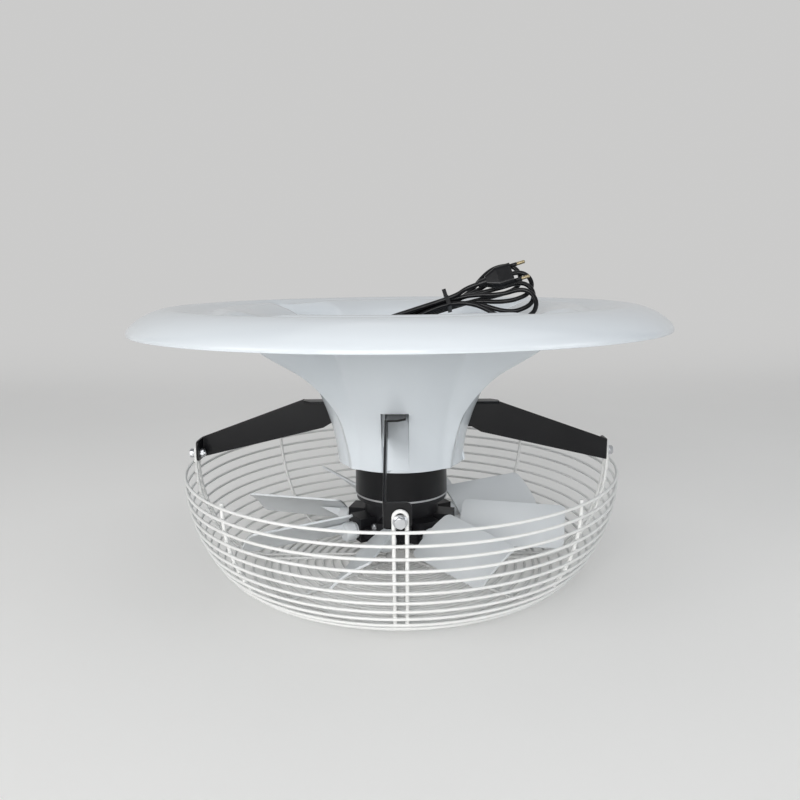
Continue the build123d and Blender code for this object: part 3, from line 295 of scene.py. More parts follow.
arm_azimuths = [-90, 0, 90, 180]
corner_azimuths = [-45, 45, 135, 225]

# %% [markdown]
# ## Diffuser
# The dish, its brim and the fluted neck are one plastic moulding, 3 mm thick. Turned on a lathe
# it would be round, but here four flutes run up over the arms and four sharp ribs stand between
# them. So the wall is made as one closed grid: each column is the moulding's cut at one angle,
# and the columns' outline changes from the flute's line to the rib's line as the angle goes round.

# %% Outline of the flare and the brim
dish_radius = 0.3175
brim_width = 0.0435
brim_drop = 0.025
brim_power = 4 / 3
lip_length = 0.0024
crest_height = 0.3324
neck_radius = 0.083
neck_bottom = 0.139
wall = 0.003
flute_line = [
    (-0.018, 0.000), (0.004, 0.173), (0.037, 0.299), (0.072, 0.394), (0.115, 0.494), (0.178, 0.625),
    (0.267, 0.762), (0.403, 0.909), (0.644, 0.990), (0.780, 0.961), (1.000, 1.000),
]
rib_line = [
    (0.000, 0.000), (0.037, 0.179), (0.083, 0.315), (0.144, 0.407), (0.235, 0.509), (0.373, 0.625),
    (0.610, 0.762), (0.775, 0.877), (0.877, 0.945), (0.935, 0.978), (1.000, 1.000),
]
flare_reach = dish_radius - brim_width - neck_radius
flare_rise = crest_height - wall - neck_bottom
lip_top = crest_height - brim_drop
last_step = len(flute_line) - 1
rib_half_low, rib_half_grows = 7, 8
rib_softness = 0.006


def rib_share(offset, way):
    """How far the wall has come from the flute (0) to the rib (1), at degrees off the arm."""
    half = rib_half_low + rib_half_grows * way
    rise = 1 - (45 - abs(offset)) / half
    return (rise + math.sqrt(rise * rise + rib_softness)) / 2


def flare_spot(offset, step):
    """Radius and height of the wall's underside, some steps up, on a curve through the lines."""
    first = min(int(step), last_step - 1)
    t = step - first
    spots = []
    for i in (first - 1, first, first + 1, first + 2):
        inside = min(max(i, 0), last_step)
        share = rib_share(offset, inside / last_step)
        (fr, fz), (cr, cz) = flute_line[inside], rib_line[inside]
        spots.append([fr + share * (cr - fr), fz + share * (cz - fz)])
    if first == 0:
        spots[0] = [spots[2][0], 2 * spots[1][1] - spots[2][1]]
    if first == last_step - 1:
        spots[3] = [2 * spots[2][0] - spots[1][0], spots[1][1]]
    place = []
    for a, b, c, d in zip(*spots):
        bend = 2 * a - 5 * b + 4 * c - d + t * (3 * (b - c) + d - a)
        place.append(b + 0.5 * t * (c - a + t * bend))
    return neck_radius + flare_reach * place[0], neck_bottom + flare_rise * place[1]


def brim_spot(inset, share):
    """Radius and height of the brim, from its lip (0) to its crest (1), an inset into the wall."""
    turn = share * math.pi / 2
    across = 1 - max(math.cos(turn), 0.0) ** brim_power
    up = math.sin(turn) ** brim_power
    return dish_radius - inset - (brim_width - inset) * across, lip_top + (brim_drop - inset) * up


print("flare from", flare_spot(0, 0), "to", flare_spot(0, last_step))

# %% Rows and columns, with the slot's four edges among them
slot_left = -0.0225
slot_right = 0.009
slot_bottom = 0.143
slot_top = 0.2125
rows_per_step = 7
row_steps = [i / rows_per_step for i in range(last_step * rows_per_step + 1)]


def step_at(height):
    """The step at which the flute's line reaches a height."""
    low, high = 0.0, 6.0
    for _ in range(40):
        middle = (low + high) / 2
        if flare_spot(0, middle)[1] < height:
            low = middle
        else:
            high = middle
    return low


slot_rows = []
for height in (slot_bottom, slot_top):
    exact = step_at(height)
    nearest = max(1, round(exact * rows_per_step))
    row_steps[nearest] = exact
    slot_rows.append(nearest)
slot_reach = flare_spot(0, row_steps[slot_rows[1]])[0]

rib_columns = (31.6, 33.2, 34.8, 36.4, 38, 39.6, 41.2, 42.6, 43.8)
panel_half = 30
columns = [("rib", -45)] + [("rib", -degrees) for degrees in rib_columns[::-1]]
for first, count in ((0, 5), (1, 6), (2, 7)):
    columns += [("panel", first + i / count) for i in range(count)]
columns += [("panel", 3.0)]
columns += [("rib", degrees) for degrees in rib_columns]


def column_offset(column, radius):
    """Degrees off the arm of a column at a radius of the wall. The slot's edges stay upright."""
    kind, place = column
    if kind == "rib":
        return place
    reach = min(radius, slot_reach)
    edges = [math.degrees(math.asin(side / reach)) for side in (slot_left, slot_right)]
    marks = (-panel_half, *edges, panel_half)
    first = min(int(place), 2)
    return marks[first] + (marks[first + 1] - marks[first]) * (place - first)


print("rows:", len(row_steps), "columns:", 4 * len(columns), "slot rows:", slot_rows)

# %% Cut of the moulding at one column
brim_rows = 18
nearby = 0.05


def column_outline(column):
    """One column as (offset, radius, height), from the neck's rim up, over the lip and back."""
    under, over = [], []
    for step in row_steps:
        offset = column_offset(column, flare_spot(0, step)[0])
        here = flare_spot(offset, step)
        before = flare_spot(offset, max(step - nearby, 0))
        after = flare_spot(offset, min(step + nearby, last_step))
        run, rise = after[0] - before[0], after[1] - before[1]
        if step == 0:
            run, rise = 0, 1
        if step == last_step:
            run, rise = 1, 0
        slope = math.hypot(run, rise)
        under.append((offset, *here))
        over.append((offset, here[0] - wall * rise / slope, here[1] + wall * run / slope))
    edge = over[-1][0]
    inside = [(edge, *brim_spot(wall, 1 - i / brim_rows)) for i in range(1, brim_rows + 1)]
    lip = [(edge, dish_radius - inward, lip_top - lip_length) for inward in (wall, 0)]
    outside = [(edge, *brim_spot(0, i / brim_rows)) for i in range(brim_rows)]
    return under + inside + lip + outside + over[::-1]


outlines = [column_outline(column) for column in columns]
print("points in one column:", len(outlines[0]))

# %% Build the moulding
build = bmesh.new()
ring_verts = []
for azimuth in arm_azimuths:
    for outline in outlines:
        ring_verts.append([build.verts.new(around(azimuth + o, r, 0, z)) for o, r, z in outline])
size = len(outlines[0])
bottom_row, top_row = slot_rows


def in_slot(column_number, row):
    """Whether a face of the grid lies in the opening of an arm's slot."""
    kind, place = columns[column_number % len(columns)]
    mirrored = size - 2 - row
    low = min(row, mirrored)
    return kind == "panel" and 1 <= place < 2 and bottom_row <= low < top_row


for j, here in enumerate(ring_verts):
    there = ring_verts[(j + 1) % len(ring_verts)]
    for i in range(size):
        after = (i + 1) % size
        if i < size - 1 and in_slot(j, i):
            continue
        build.faces.new((here[i], there[i], there[after], here[after]))
    kind, place = columns[j % len(columns)]
    if kind == "panel" and place in (1, 2):
        for i in range(bottom_row, top_row):
            build.faces.new((here[i], here[i + 1], here[size - 2 - i], here[size - 1 - i]))
    if in_slot(j, bottom_row):
        for i in (bottom_row, top_row):
            build.faces.new((here[i], there[i], there[size - 1 - i], here[size - 1 - i]))
diffuser = place_mesh("moulded_diffuser", build, "white_plastic")
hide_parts("diffuser")
soften(diffuser, 0.0007, 2, 50)
print("moulding:", len(diffuser.data.vertices), "points")

# %% [markdown]
# ## Pockets and lugs inside the neck
# Behind each slot the neck has a shallow pocket: a ramp, a back wall and two cheeks. The back wall
# has a slit for the arm's web, and closes the view into the neck.
# Higher up, four lugs carry the mounting plate. Each is a flat plate of the wall's thickness, so
# an outline pushed sideways makes it.

# %% Pockets and lugs


def add_plate(build, outline, azimuth, start, end):
    """A plate with its (reach, height) outline in the arm's upright plane, from side to side."""
    near, far = [
        [build.verts.new(around(azimuth, reach, side, height)) for reach, height in outline]
        for side in (start, end)
    ]
    build.faces.new(near)
    build.faces.new(far[::-1])
    for i in range(len(outline)):
        j = (i + 1) % len(outline)
        build.faces.new((near[i], far[i], far[j], near[j]))


pocket_floor = slot_reach - 0.020
mouth = flare_spot(0, row_steps[bottom_row])[0]
plate_wall = 0.0025
plate_foot = 0.1405
ramp_foot = 0.1436
ramp_start, ramp_bend, ramp_end = (mouth - 0.0026, 0.1545), (pocket_floor, 0.179), (pocket_floor, 0.199)
ramp_points = 12
pocket_top = 0.2092
cheek_heel = 0.172
half_wall = 0.0016
slit_bottom = 0.1802
web_slit = (-0.0182, -0.0147)


def back_line(top):
    """The pocket's back from the neck's rim: a ramp that bends smoothly into an upright wall."""
    line = [(mouth - 0.0006, ramp_foot)]
    start, middle, end = Vector(ramp_start), Vector(ramp_bend), Vector(ramp_end)
    for i in range(ramp_points + 1):
        t = i / ramp_points
        place = start * (1 - t) ** 2 + middle * (2 * t * (1 - t)) + end * t * t
        if place.y < top - 0.0005:
            line.append((place.x, place.y))
    return line + [(line[-1][0] if top < ramp_end[1] else pocket_floor, top)]


def back_plate(top):
    """Outline of the back, its thickness taken inward, with its foot in the neck's rim."""
    front = back_line(top)
    behind = [(reach - plate_wall, height) for reach, height in front[2:]]
    return [(mouth - 0.003, plate_foot), (mouth - 0.0012, plate_foot)] + front + behind[::-1]


def cheek_outline(side):
    """Outline of a cheek that ends inside the neck's wall, at a place across the arm."""
    outline = []
    for height in (ramp_foot, 0.150, 0.158, 0.166, 0.174, 0.182, 0.190, 0.198, 0.204, pocket_top):
        radius = flare_spot(0, step_at(height))[0]
        outline.append((math.sqrt(radius * radius - side * side) - half_wall, height))
    return outline + [(pocket_floor, pocket_top), (pocket_floor, cheek_heel)]


build = bmesh.new()
left_cheek, right_cheek = slot_left - plate_wall, slot_right + plate_wall
for azimuth in arm_azimuths:
    add_plate(build, back_plate(pocket_top), azimuth, left_cheek, web_slit[0])
    add_plate(build, back_plate(slit_bottom), azimuth, *web_slit)
    add_plate(build, back_plate(pocket_top), azimuth, web_slit[1], right_cheek)
    add_plate(build, cheek_outline(left_cheek), azimuth, left_cheek, slot_left)
    add_plate(build, cheek_outline(right_cheek), azimuth, slot_right, right_cheek)
lug_bottom, lug_top = 0.215, 0.218
lug_start, lug_half, lug_tip_half, lug_taper = 0.066, 0.013, 0.004, 0.009
lug_end = flare_spot(45, step_at(0.2165))[0] - 0.006
lug = [(lug_start, -lug_half), (lug_end - lug_taper, -lug_half), (lug_end, -lug_tip_half)]
lug += [(reach, -side) for reach, side in lug[::-1]]
for azimuth in corner_azimuths:
    low = [build.verts.new(around(azimuth, reach, side, lug_bottom)) for reach, side in lug]
    high = [build.verts.new(around(azimuth, reach, side, lug_top)) for reach, side in lug]
    build.faces.new(low[::-1])
    build.faces.new(high)
    for i in range(len(lug)):
        j = (i + 1) % len(lug)
        build.faces.new((low[i], low[j], high[j], high[i]))
neck_fittings = place_mesh("neck_pockets_and_lugs", build, "white_plastic")
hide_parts("diffuser")
soften(neck_fittings, 0.0005)
print("pockets and lugs:", len(neck_fittings.data.polygons), "faces")

# %% [markdown]
# ## Wire guard
# The guard is welded from round wire and then powder coated. Each ring and each upright wire is a
# line of points with a round bevel, which is how a curve becomes a wire in Blender. The rings sit
# on a bowl outline made of two arcs. Small drops of coating fill the corners at every weld.

# %% Bowl outline of the guard
ring_wire = 0.0034
upright_wire = 0.004
flat_radius = 0.172
corner_arc = 0.0725
corner_bend = math.radians(54)
side_arc = 0.1745
floor_height = ring_wire / 2
corner_centre = floor_height + corner_arc
side_top = corner_centre + (side_arc - corner_arc) * math.cos(corner_bend)
side_run = side_arc * (math.pi / 2 - corner_bend)
bend_sine = math.sin(corner_bend)
guard_radius = flat_radius + corner_arc * bend_sine + side_arc * (1 - bend_sine)
weld_sink = 0.00025
inset = ring_wire / 2 + upright_wire / 2 - weld_sink


def bowl_spot(run, inside=0.0):
    """Radius and height on the bowl, at a run down from its top, moved inward a little."""
    if run <= side_run:
        lean = math.pi / 2 - run / side_arc
        centre = guard_radius - side_arc
        arc = side_arc - inside
        return centre + arc * math.sin(lean), side_top - arc * math.cos(lean)
    if run <= side_run + corner_arc * corner_bend:
        lean = corner_bend - (run - side_run) / corner_arc
        arc = corner_arc - inside
        return flat_radius + arc * math.sin(lean), corner_centre - arc * math.cos(lean)
    return flat_radius - (run - side_run - corner_arc * corner_bend), floor_height + inside


ring_count = 14
wall_start, wall_pitch = -0.0015, 0.0134
floor_start, floor_pitch = 0.1695, 0.0112
wall_rings = [bowl_spot(wall_start + wall_pitch * number) for number in range(ring_count)]
floor_rings = [(floor_start - floor_pitch * number, floor_height) for number in range(ring_count)]
print("guard radius:", round(guard_radius, 4), "rings:", len(wall_rings) + len(floor_rings))

# %% Rings, hairpins and ribs


def wire_piece(name, lines, thickness):
    """Several lines of points as one coated wire piece."""
    data = bpy.data.curves.new(name, "CURVE")
    data.dimensions = "3D"
    data.bevel_depth = thickness / 2
    data.bevel_resolution = 2
    data.use_fill_caps = True
    for points, closed in lines:
        spline = data.splines.new("POLY")
        spline.points.add(len(points) - 1)
        for mark, place in zip(spline.points, points):
            mark.co = (*place, 1)
        spline.use_cyclic_u = closed
    data.materials.append(white_coating)
    piece = bpy.data.objects.new(name, data)
    bpy.context.scene.collection.objects.link(piece)
    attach(piece, "frame")
    return piece


def circle(radius, height):
    """A closed ring's points, 2.5 degrees apart."""
    return [around(turn * 2.5, radius, 0, height) for turn in range(144)], True


innermost = 0.021


def upright(azimuth, side, top):
    """One upright wire's line, from the guard's floor up to a height."""
    lowest = side_run + corner_arc * corner_bend
    spots = [(innermost, floor_height + inset), (0.09, floor_height + inset)]
    spots += [bowl_spot(lowest * (1 - i / 48), inset) for i in range(49)]
    spots.append((spots[-1][0], top))
    return [around(azimuth, reach, side, height) for reach, height in spots]


hairpin_side = -0.0015
hairpin_half = 0.00615
hairpin_top = 0.1552
loop_height = hairpin_top - hairpin_half
hairpin_radius = guard_radius - inset
hairpins = []
for azimuth in arm_azimuths:
    first = upright(azimuth, hairpin_side - hairpin_half, loop_height)
    second = upright(azimuth, hairpin_side + hairpin_half, loop_height)
    loop = []
    for i in range(1, 16):
        turn = math.pi * i / 16
        side = hairpin_side - hairpin_half * math.cos(turn)
        loop.append(around(azimuth, hairpin_radius, side, loop_height + hairpin_half * math.sin(turn)))
    hairpins.append((first + loop + second[::-1], False))
ribs = [(upright(azimuth, 0, wall_rings[0][1] + 0.004), False) for azimuth in corner_azimuths]
wall_piece = wire_piece("coated_wall_rings", [circle(*spot) for spot in wall_rings], ring_wire)
floor_piece = wire_piece("coated_floor_rings", [circle(*spot) for spot in floor_rings], ring_wire)
hairpin_piece = wire_piece("coated_hairpins", hairpins, upright_wire)
rib_piece = wire_piece("coated_ribs", ribs, upright_wire)
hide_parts("guard_wall_rings")
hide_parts("guard_floor_rings")
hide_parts("guard_hairpins")
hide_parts("guard_ribs")
print("hairpins:", len(hairpins), "ribs:", len(ribs))

# %% Drops of coating at the welds
weld_inward = 0.0017
lowest_side_ring = 0.02
weld_shape = (0.0015, 0.0022, 0.0022)
bowl_heart = Vector((flat_radius, corner_centre))
side_heart = Vector((guard_radius - side_arc, side_top))
build = bmesh.new()
crossings = [(azimuth, 0.0) for azimuth in corner_azimuths]
for azimuth in arm_azimuths:
    crossings += [(azimuth, hairpin_side - hairpin_half), (azimuth, hairpin_side + hairpin_half)]
for azimuth, side in crossings:
    for radius, height in wall_rings + floor_rings:
        reach = math.sqrt(radius * radius - side * side)
        toward = bowl_heart - Vector((radius, height)) if radius > flat_radius else Vector((0, 1))
        if height > lowest_side_ring:
            toward = side_heart - Vector((radius, height))
        toward = toward.normalized() * weld_inward
        place = around(azimuth, reach + toward[0], side, height + toward[1])
        spin = Matrix.Translation(place) @ Matrix.Rotation(math.radians(azimuth), 4, "Z")
        scale = Matrix.Diagonal((*weld_shape, 1))
        bmesh.ops.create_icosphere(build, subdivisions=2, radius=1.0, matrix=spin @ scale)
place_mesh("weld_drops", build, "white_coating")
print("welds:", len(crossings) * (len(wall_rings) + len(floor_rings)))

# %% [markdown]
# ## Arms
# Each arm is cut from 2.5 mm sheet and bent twice: a flange along the level part of its top, and
# a tab at its end that takes the guard's bolt. So it is drawn as a thin sheet with rounded bends,
# and a Solidify modifier gives it the sheet's thickness, as in a press.

# %% Arms as bent sheet
sheet = 0.0025
web_side = -0.0177
arm_top = 0.212
tab_face = hairpin_radius - upright_wire / 2
slope_start = 0.123
tab_high, tab_low = 0.163, 0.137
bend = 0.0042
flange_edge = 0.0058
flange_taper = 0.009
tab_edge = 0.0093


def web_top(reach):
    """Height of the web's top: level to the bend, then sloping down to the tab."""
    share = max(0.0, (reach - slope_start) / (tab_face - slope_start))
    return arm_top + (tab_high - arm_top) * share


def web_bottom(reach):
    """Height of the web's lower edge, in three straight stretches."""
    marks = [(0.0, 0.181), (0.088, 0.181), (0.100, 0.174), (tab_face, tab_low)]
    for (r0, z0), (r1, z1) in zip(marks, marks[1:]):
        if reach <= r1:
            return z0 + (z1 - z0) * (reach - r0) / (r1 - r0)
    return tab_low


bend_steps = [math.pi / 2 * i / 5 for i in range(6)]
corner_cut, corner_soft = 0.0045, 0.0013
tab_corner = [(corner_cut, 0, 0), (corner_soft, corner_soft, 0), (0, corner_cut, 0.001)]


build = bmesh.new()
for azimuth in arm_azimuths:
    stations = [0.070, 0.088, 0.094, 0.100, 0.114, slope_start]
    rows = [[(reach, web_side, web_bottom(reach)) for reach in stations]]
    for turn in bend_steps:
        side = web_side + bend * (1 - math.cos(turn))
        height = arm_top - bend * (1 - math.sin(turn))
        rows.append([(reach, side, height) for reach in stations])
    edges = [flange_edge] * 5 + [flange_edge - flange_taper]
    rows.append([(reach, edge, arm_top) for reach, edge in zip(stations, edges)])
    add_grid(build, [[around(azimuth, *spot) for spot in row] for row in rows])
    sides = (web_side + bend, flange_edge)
    root = [[(reach, side, arm_top) for reach in (0.030, stations[0])] for side in sides]
    add_grid(build, [[around(azimuth, *spot) for spot in row] for row in root])
    reaches = [slope_start, 0.155, 0.190, 0.225, tab_face - bend]
    rows = []
    for level in (0, 1, 2):
        row = []
        for reach in reaches:
            top, bottom = web_top(reach), web_bottom(reach)
            row.append((reach, web_side, (bottom, top - bend, top)[level]))
        for turn in bend_steps[1:]:
            reach = tab_face - bend * (1 - math.sin(turn))
            top, bottom = web_top(reach), web_bottom(reach)
            side = web_side + bend * (1 - math.cos(turn))
            row.append((reach, side, (bottom, top - bend, top)[level]))
        for inward, cut, dip in tab_corner:
            height = (tab_low + cut, tab_high - bend - dip, tab_high - cut)[level]
            row.append((tab_face, tab_edge - inward, height))
        rows.append(row)
    add_grid(build, [[around(azimuth, *spot) for spot in row] for row in rows])
arms = place_mesh("bent_arms", build, "black_paint", closed=False)
thick = arms.modifiers.new("sheet_thickness", "SOLIDIFY")
thick.thickness = sheet
thick.offset = -1
thick.use_even_offset = True
soften(arms, 0.0005, 2, 40)
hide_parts("arm_front", "arm_right", "arm_back", "arm_left")
print("arms:", len(arms.data.polygons), "faces")

# %% [markdown]
# ## Guard bolts
# A flange bolt clamps each hairpin's loop against the arm's tab. The head is a hexagon with its
# corners turned off at 30 degrees, which leaves the curved edges that a real bolt shows, and its
# flange spreads over both wires of the loop.

# %% Guard bolts and nuts


across_flats = 0.010
face_share = 0.96


def add_hexagon(build, frame_matrix, height):
    """A hexagon with turned-off corners, standing on the frame's level plane."""
    inner = across_flats / 2
    rings = [[], [], []]
    for i in range(48):
        turn = math.tau * i / 48
        corner = inner / math.cos((turn % (math.pi / 3)) - math.pi / 6)
        face = inner * face_share
        drop = (corner - face) * math.tan(math.radians(30))
        x, y = math.cos(turn), math.sin(turn)
        rings[0].append(frame_matrix @ Vector((corner * x, corner * y, 0.0)))
        rings[1].append(frame_matrix @ Vector((corner * x, corner * y, height - drop)))
        rings[2].append(frame_matrix @ Vector((face * x, face * y, height)))
    verts = add_grid(build, rings, around_too=True)
    build.faces.new(verts[0][::-1])
    build.faces.new(verts[2])


def add_turned(build, frame_matrix, outline, count=32):
    """A turned piece from its (radius, height) outline, closed at both ends."""
    rings = []
    for radius, height in outline:
        ring = []
        for i in range(count):
            turn = math.tau * i / count
            place = Vector((radius * math.cos(turn), radius * math.sin(turn), height))
            ring.append(frame_matrix @ place)
        rings.append(ring)
    verts = add_grid(build, rings, around_too=True)
    build.faces.new(verts[0][::-1])
    build.faces.new(verts[-1])


def facing_out(azimuth, reach, side, height, spin):
    """A frame at a spot of an arm whose own up direction points away from the axis."""
    place = Matrix.Translation(around(azimuth, reach, side, height))
    turn = Matrix.Rotation(math.radians(azimuth), 4, "Z") @ Matrix.Rotation(math.pi / 2, 4, "Y")
    return place @ turn @ Matrix.Rotation(math.radians(spin), 4, "Z")


clamp_face = hairpin_radius + upright_wire / 2
bolt_height = 0.1458
head_height, nut_height = 0.0062, 0.0052
bolt_radius, bolt_reach = 0.003, 0.0125
flange = [(0.0066, 0), (0.007, 0.0003), (0.007, 0.0009), (0.0062, 0.0014), (0.0054, 0.0020)]
build = bmesh.new()
for azimuth, spin in zip(arm_azimuths, (12, 40, 25, 5)):
    head = facing_out(azimuth, clamp_face, hairpin_side, bolt_height, spin)
    add_turned(build, head, flange)
    add_hexagon(build, head, head_height)
    add_turned(build, head, [(bolt_radius, -bolt_reach), (bolt_radius, 0.0)])
    nut_reach = tab_face - sheet - nut_height
    back = facing_out(azimuth, nut_reach, hairpin_side, bolt_height, spin + 20)
    add_hexagon(build, back, nut_height)
    add_turned(build, back, [(0.0022, -0.002), (bolt_radius, -0.0012), (bolt_radius, 0.0)])
guard_bolts = place_mesh("guard_flange_bolts", build, "zinc")
soften(guard_bolts, 0.0002, 1, 25)
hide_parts("guard_bolts", "guard_nuts")
print("guard bolts:", len(arm_azimuths))

# %% [markdown]
# ## Blades
# Eight paddle blades of light grey plastic, each a gently curved plate on a round root that the
# hub clamps. One blade is drawn flat, bent along its chord, given its thickness, and then copied
# round the hub. All eight share the same points, as the real ones share a mould.

# %% One blade
blade_axis = 0.0533
blade_pitch = math.radians(39)
blade_lift = 0.010
blade_camber = 0.005
blade_root, blade_tip = 0.078, 0.206
first_blade = 30.4
half_chord = 0.036
edge_low, edge_high, edge_taper = -0.033, 0.033, 0.006
blade_corner = 0.007
blade_thickness = 0.0026
camber_level = 0.4


def blade_edges(reach):
    """Lower and upper edge of the blade across its chord, with rounded corners at both ends."""
    share = (reach - blade_root) / (blade_tip - blade_root)
    low, high = edge_low + edge_taper * share, edge_high
    for distance in (reach - blade_root, blade_tip - reach):
        if distance < blade_corner:
            rest = blade_corner - distance
            cut = blade_corner - math.sqrt(max(blade_corner**2 - rest**2, 0.0))
            low, high = low + cut, high - cut
    return low, high


def blade_bend(across):
    """Height of the blade's front face above its axis: an arch over the chord."""
    return blade_lift + blade_camber * (camber_level - (across / half_chord) ** 2)


build = bmesh.new()
straight = blade_tip - blade_root - 2 * blade_corner
end_steps = [blade_corner * (1 - math.cos(math.pi / 2 * i / 6)) for i in range(7)]
reaches = [blade_root + step for step in end_steps]
reaches += [blade_root + blade_corner + straight * i / 14 for i in range(1, 14)]
reaches += [blade_tip - step for step in end_steps[::-1]]
rows = []
for reach in reaches:
    low, high = blade_edges(reach)
    row = []
    for i in range(17):
        across = low + (high - low) * i / 16
        row.append(Vector((reach, across, blade_bend(across))))
    rows.append(row)
add_grid(build, rows)
blade_mesh = bpy.data.meshes.new("blade_plate")
build.to_mesh(blade_mesh)
build.free()
blade_mesh.shade_smooth()
blade_mesh.materials.append(blade_plastic)
print("blade plate:", len(blade_mesh.vertices), "points")

# %% Its round root and rib
root_mesh = bpy.data.meshes.new("blade_root")
build = bmesh.new()
outward = Matrix.Rotation(math.pi / 2, 4, "Y")
boss = [(0.0105, 0.0690), (0.0120, 0.0702), (0.0120, 0.0800), (0.0112, 0.0828), (0.0090, 0.0840)]
add_turned(build, outward, boss, 40)
add_turned(build, outward, [(0.010, 0.058), (0.010, 0.0692)], 32)
rib_half = 0.004
rib = [(0.0800, -0.004), (0.1130, 0.0095), (0.0960, 0.0095), (0.0800, 0.0095)]
front = [build.verts.new((x, -rib_half, z)) for x, z in rib]
back = [build.verts.new((x, rib_half, z)) for x, z in rib]
build.faces.new(front)
build.faces.new(back[::-1])
for i in range(len(rib)):
    j = (i + 1) % len(rib)
    build.faces.new((front[i], back[i], back[j], front[j]))
bmesh.ops.recalc_face_normals(build, faces=build.faces)
build.to_mesh(root_mesh)
build.free()
root_mesh.shade_smooth()
root_mesh.materials.append(blade_plastic)
print("blade root:", len(root_mesh.vertices), "points")

# %% Eight blades round the hub
for number in range(8):
    azimuth = math.radians(first_blade + 45 * number)
    out = Vector((math.cos(azimuth), math.sin(azimuth), 0))
    level = Vector((-math.sin(azimuth), math.cos(azimuth), 0))
    chord = level * math.cos(blade_pitch) + Vector((0, 0, math.sin(blade_pitch)))
    normal = out.cross(chord)
    place = Matrix((out, chord, normal)).transposed().to_4x4()
    place.translation = (0, 0, blade_axis)
    for part, mesh in (("plate", blade_mesh), ("root", root_mesh)):
        piece = bpy.data.objects.new(f"paddle_{number + 1}_{part}", mesh)
        piece.matrix_world = place
        bpy.context.scene.collection.objects.link(piece)
        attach(piece, "rotor")
        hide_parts(f"blade_{number + 1}")
        if part == "plate":
            thick = piece.modifiers.new("moulded_thickness", "SOLIDIFY")
            thick.thickness = blade_thickness
            thick.offset = -1
            soften(piece, 0.0010, 3, 50)
        else:
            soften(piece, 0.0006, 2, 50)
print("blades: 8")

# %% [markdown]
# ## Edges of the carried-over pieces
# The drum, the hub, the plate and the boxes keep their CAD solids. A small bevel takes the knife
# edge off them, so that paint and plastic show a fine line of light along each corner.

# %% Soften the CAD pieces
for name, width in (
    ("rotor_bell", 0.0012), ("bell_plate", 0.0004), ("hub_upper", 0.0007), ("hub_lower", 0.0007),
    ("hub_bolts", 0.0002), ("hub_nuts", 0.0002), ("mounting_plate", 0.0004), ("terminal_box", 0.0008),
    ("box_lid", 0.0006), ("cord_gland", 0.0004), ("capacitor", 0.0010), ("capacitor_strap", 0.0003),
    ("arm_bolts", 0.0003), ("lug_screws", 0.0002), ("plug", 0.0008), ("cable_tie", 0.0003),
):
    soften(nodes[name], width, 2, 35)
print("softened")

# %% [markdown]
# ## Mains cord
# A 2.9 m flexible lead leaves the gland on the terminal box, turns over in a short arch and is
# wound into a loose hank, tied at its waist. The hank lies across the dish's open funnel. The
# line is one NURBS curve with a few chosen points: a curve of this kind rounds each corner by
# itself, as a springy lead does, and a round bevel gives it its thickness.

# %% Route of the mains cord
cord_diameter = 0.0055
hank_middle = Vector((0.060, 0.0, 0.331))
hank_tilt = math.radians(17)
hank_lean = math.radians(20)
hank_along = Vector((math.cos(hank_tilt), 0, math.sin(hank_tilt)))
hank_up = Vector((-math.sin(hank_tilt), 0, math.cos(hank_tilt))) * math.cos(hank_lean)
hank_up = hank_up + Vector((0, math.sin(hank_lean), 0))
hank_front = hank_along.cross(hank_up)
waist_half = 0.004
waist_side = 0.0028
waist_pitch = 0.00305
lobe_pitch = 0.0045
right_lobes = [
    (0.078, 0.031, -0.005), (0.088, 0.015, -0.019), (0.084, -0.001, -0.0355), (0.081, -0.012, -0.0493),
]
left_lobes = [
    (-0.1614, -0.036, 0.0), (-0.1654, -0.038, -0.001), (-0.1574, -0.035, 0.001),
    (-0.1634, -0.037, -0.001), (-0.1594, -0.036, 0.0),
]
strand_middle = len(right_lobes) + 0.5


def hank_point(along, up, layer):
    """A place in the hank's own directions, as a point of the scene."""
    return hank_middle + hank_along * along + hank_up * up + hank_front * layer


def strand_sweep(near, far):
    """The two corners of one strand's sweep between the waist and a lobe."""
    (a0, u0, f0), (a1, u1, f1) = near, far
    return [(a0 + (a1 - a0) * 0.25, u0, f0), (a0 + (a1 - a0) * 0.75, u1, f1)]


def lobe_turn(here, there, outward):
    """Four corners past the end of a strand, which the curve rounds into a half turn."""
    (a0, u0, f0), (a1, u1, f1) = here, there
    reach = math.hypot(u1 - u0, f1 - f0) / 2 * outward
    return [
        (a0 + reach * 0.414, u0, f0),
        (a0 + reach, u0 + (u1 - u0) * 0.293, f0 + (f1 - f0) * 0.293),
        (a0 + reach, u1 + (u0 - u1) * 0.293, f1 + (f0 - f1) * 0.293),
        (a0 + reach * 0.414, u1, f1),
    ]


def waist(strand, side):
    """Where a strand enters (-1) or leaves (1) the tied waist."""
    up = waist_side if strand % 2 else -waist_side
    return side * waist_half, up, (strand - strand_middle) * waist_pitch


def layer(strand):
    """How far in front of the hank's middle a strand's lobe lies."""
    return (strand - strand_middle) * lobe_pitch


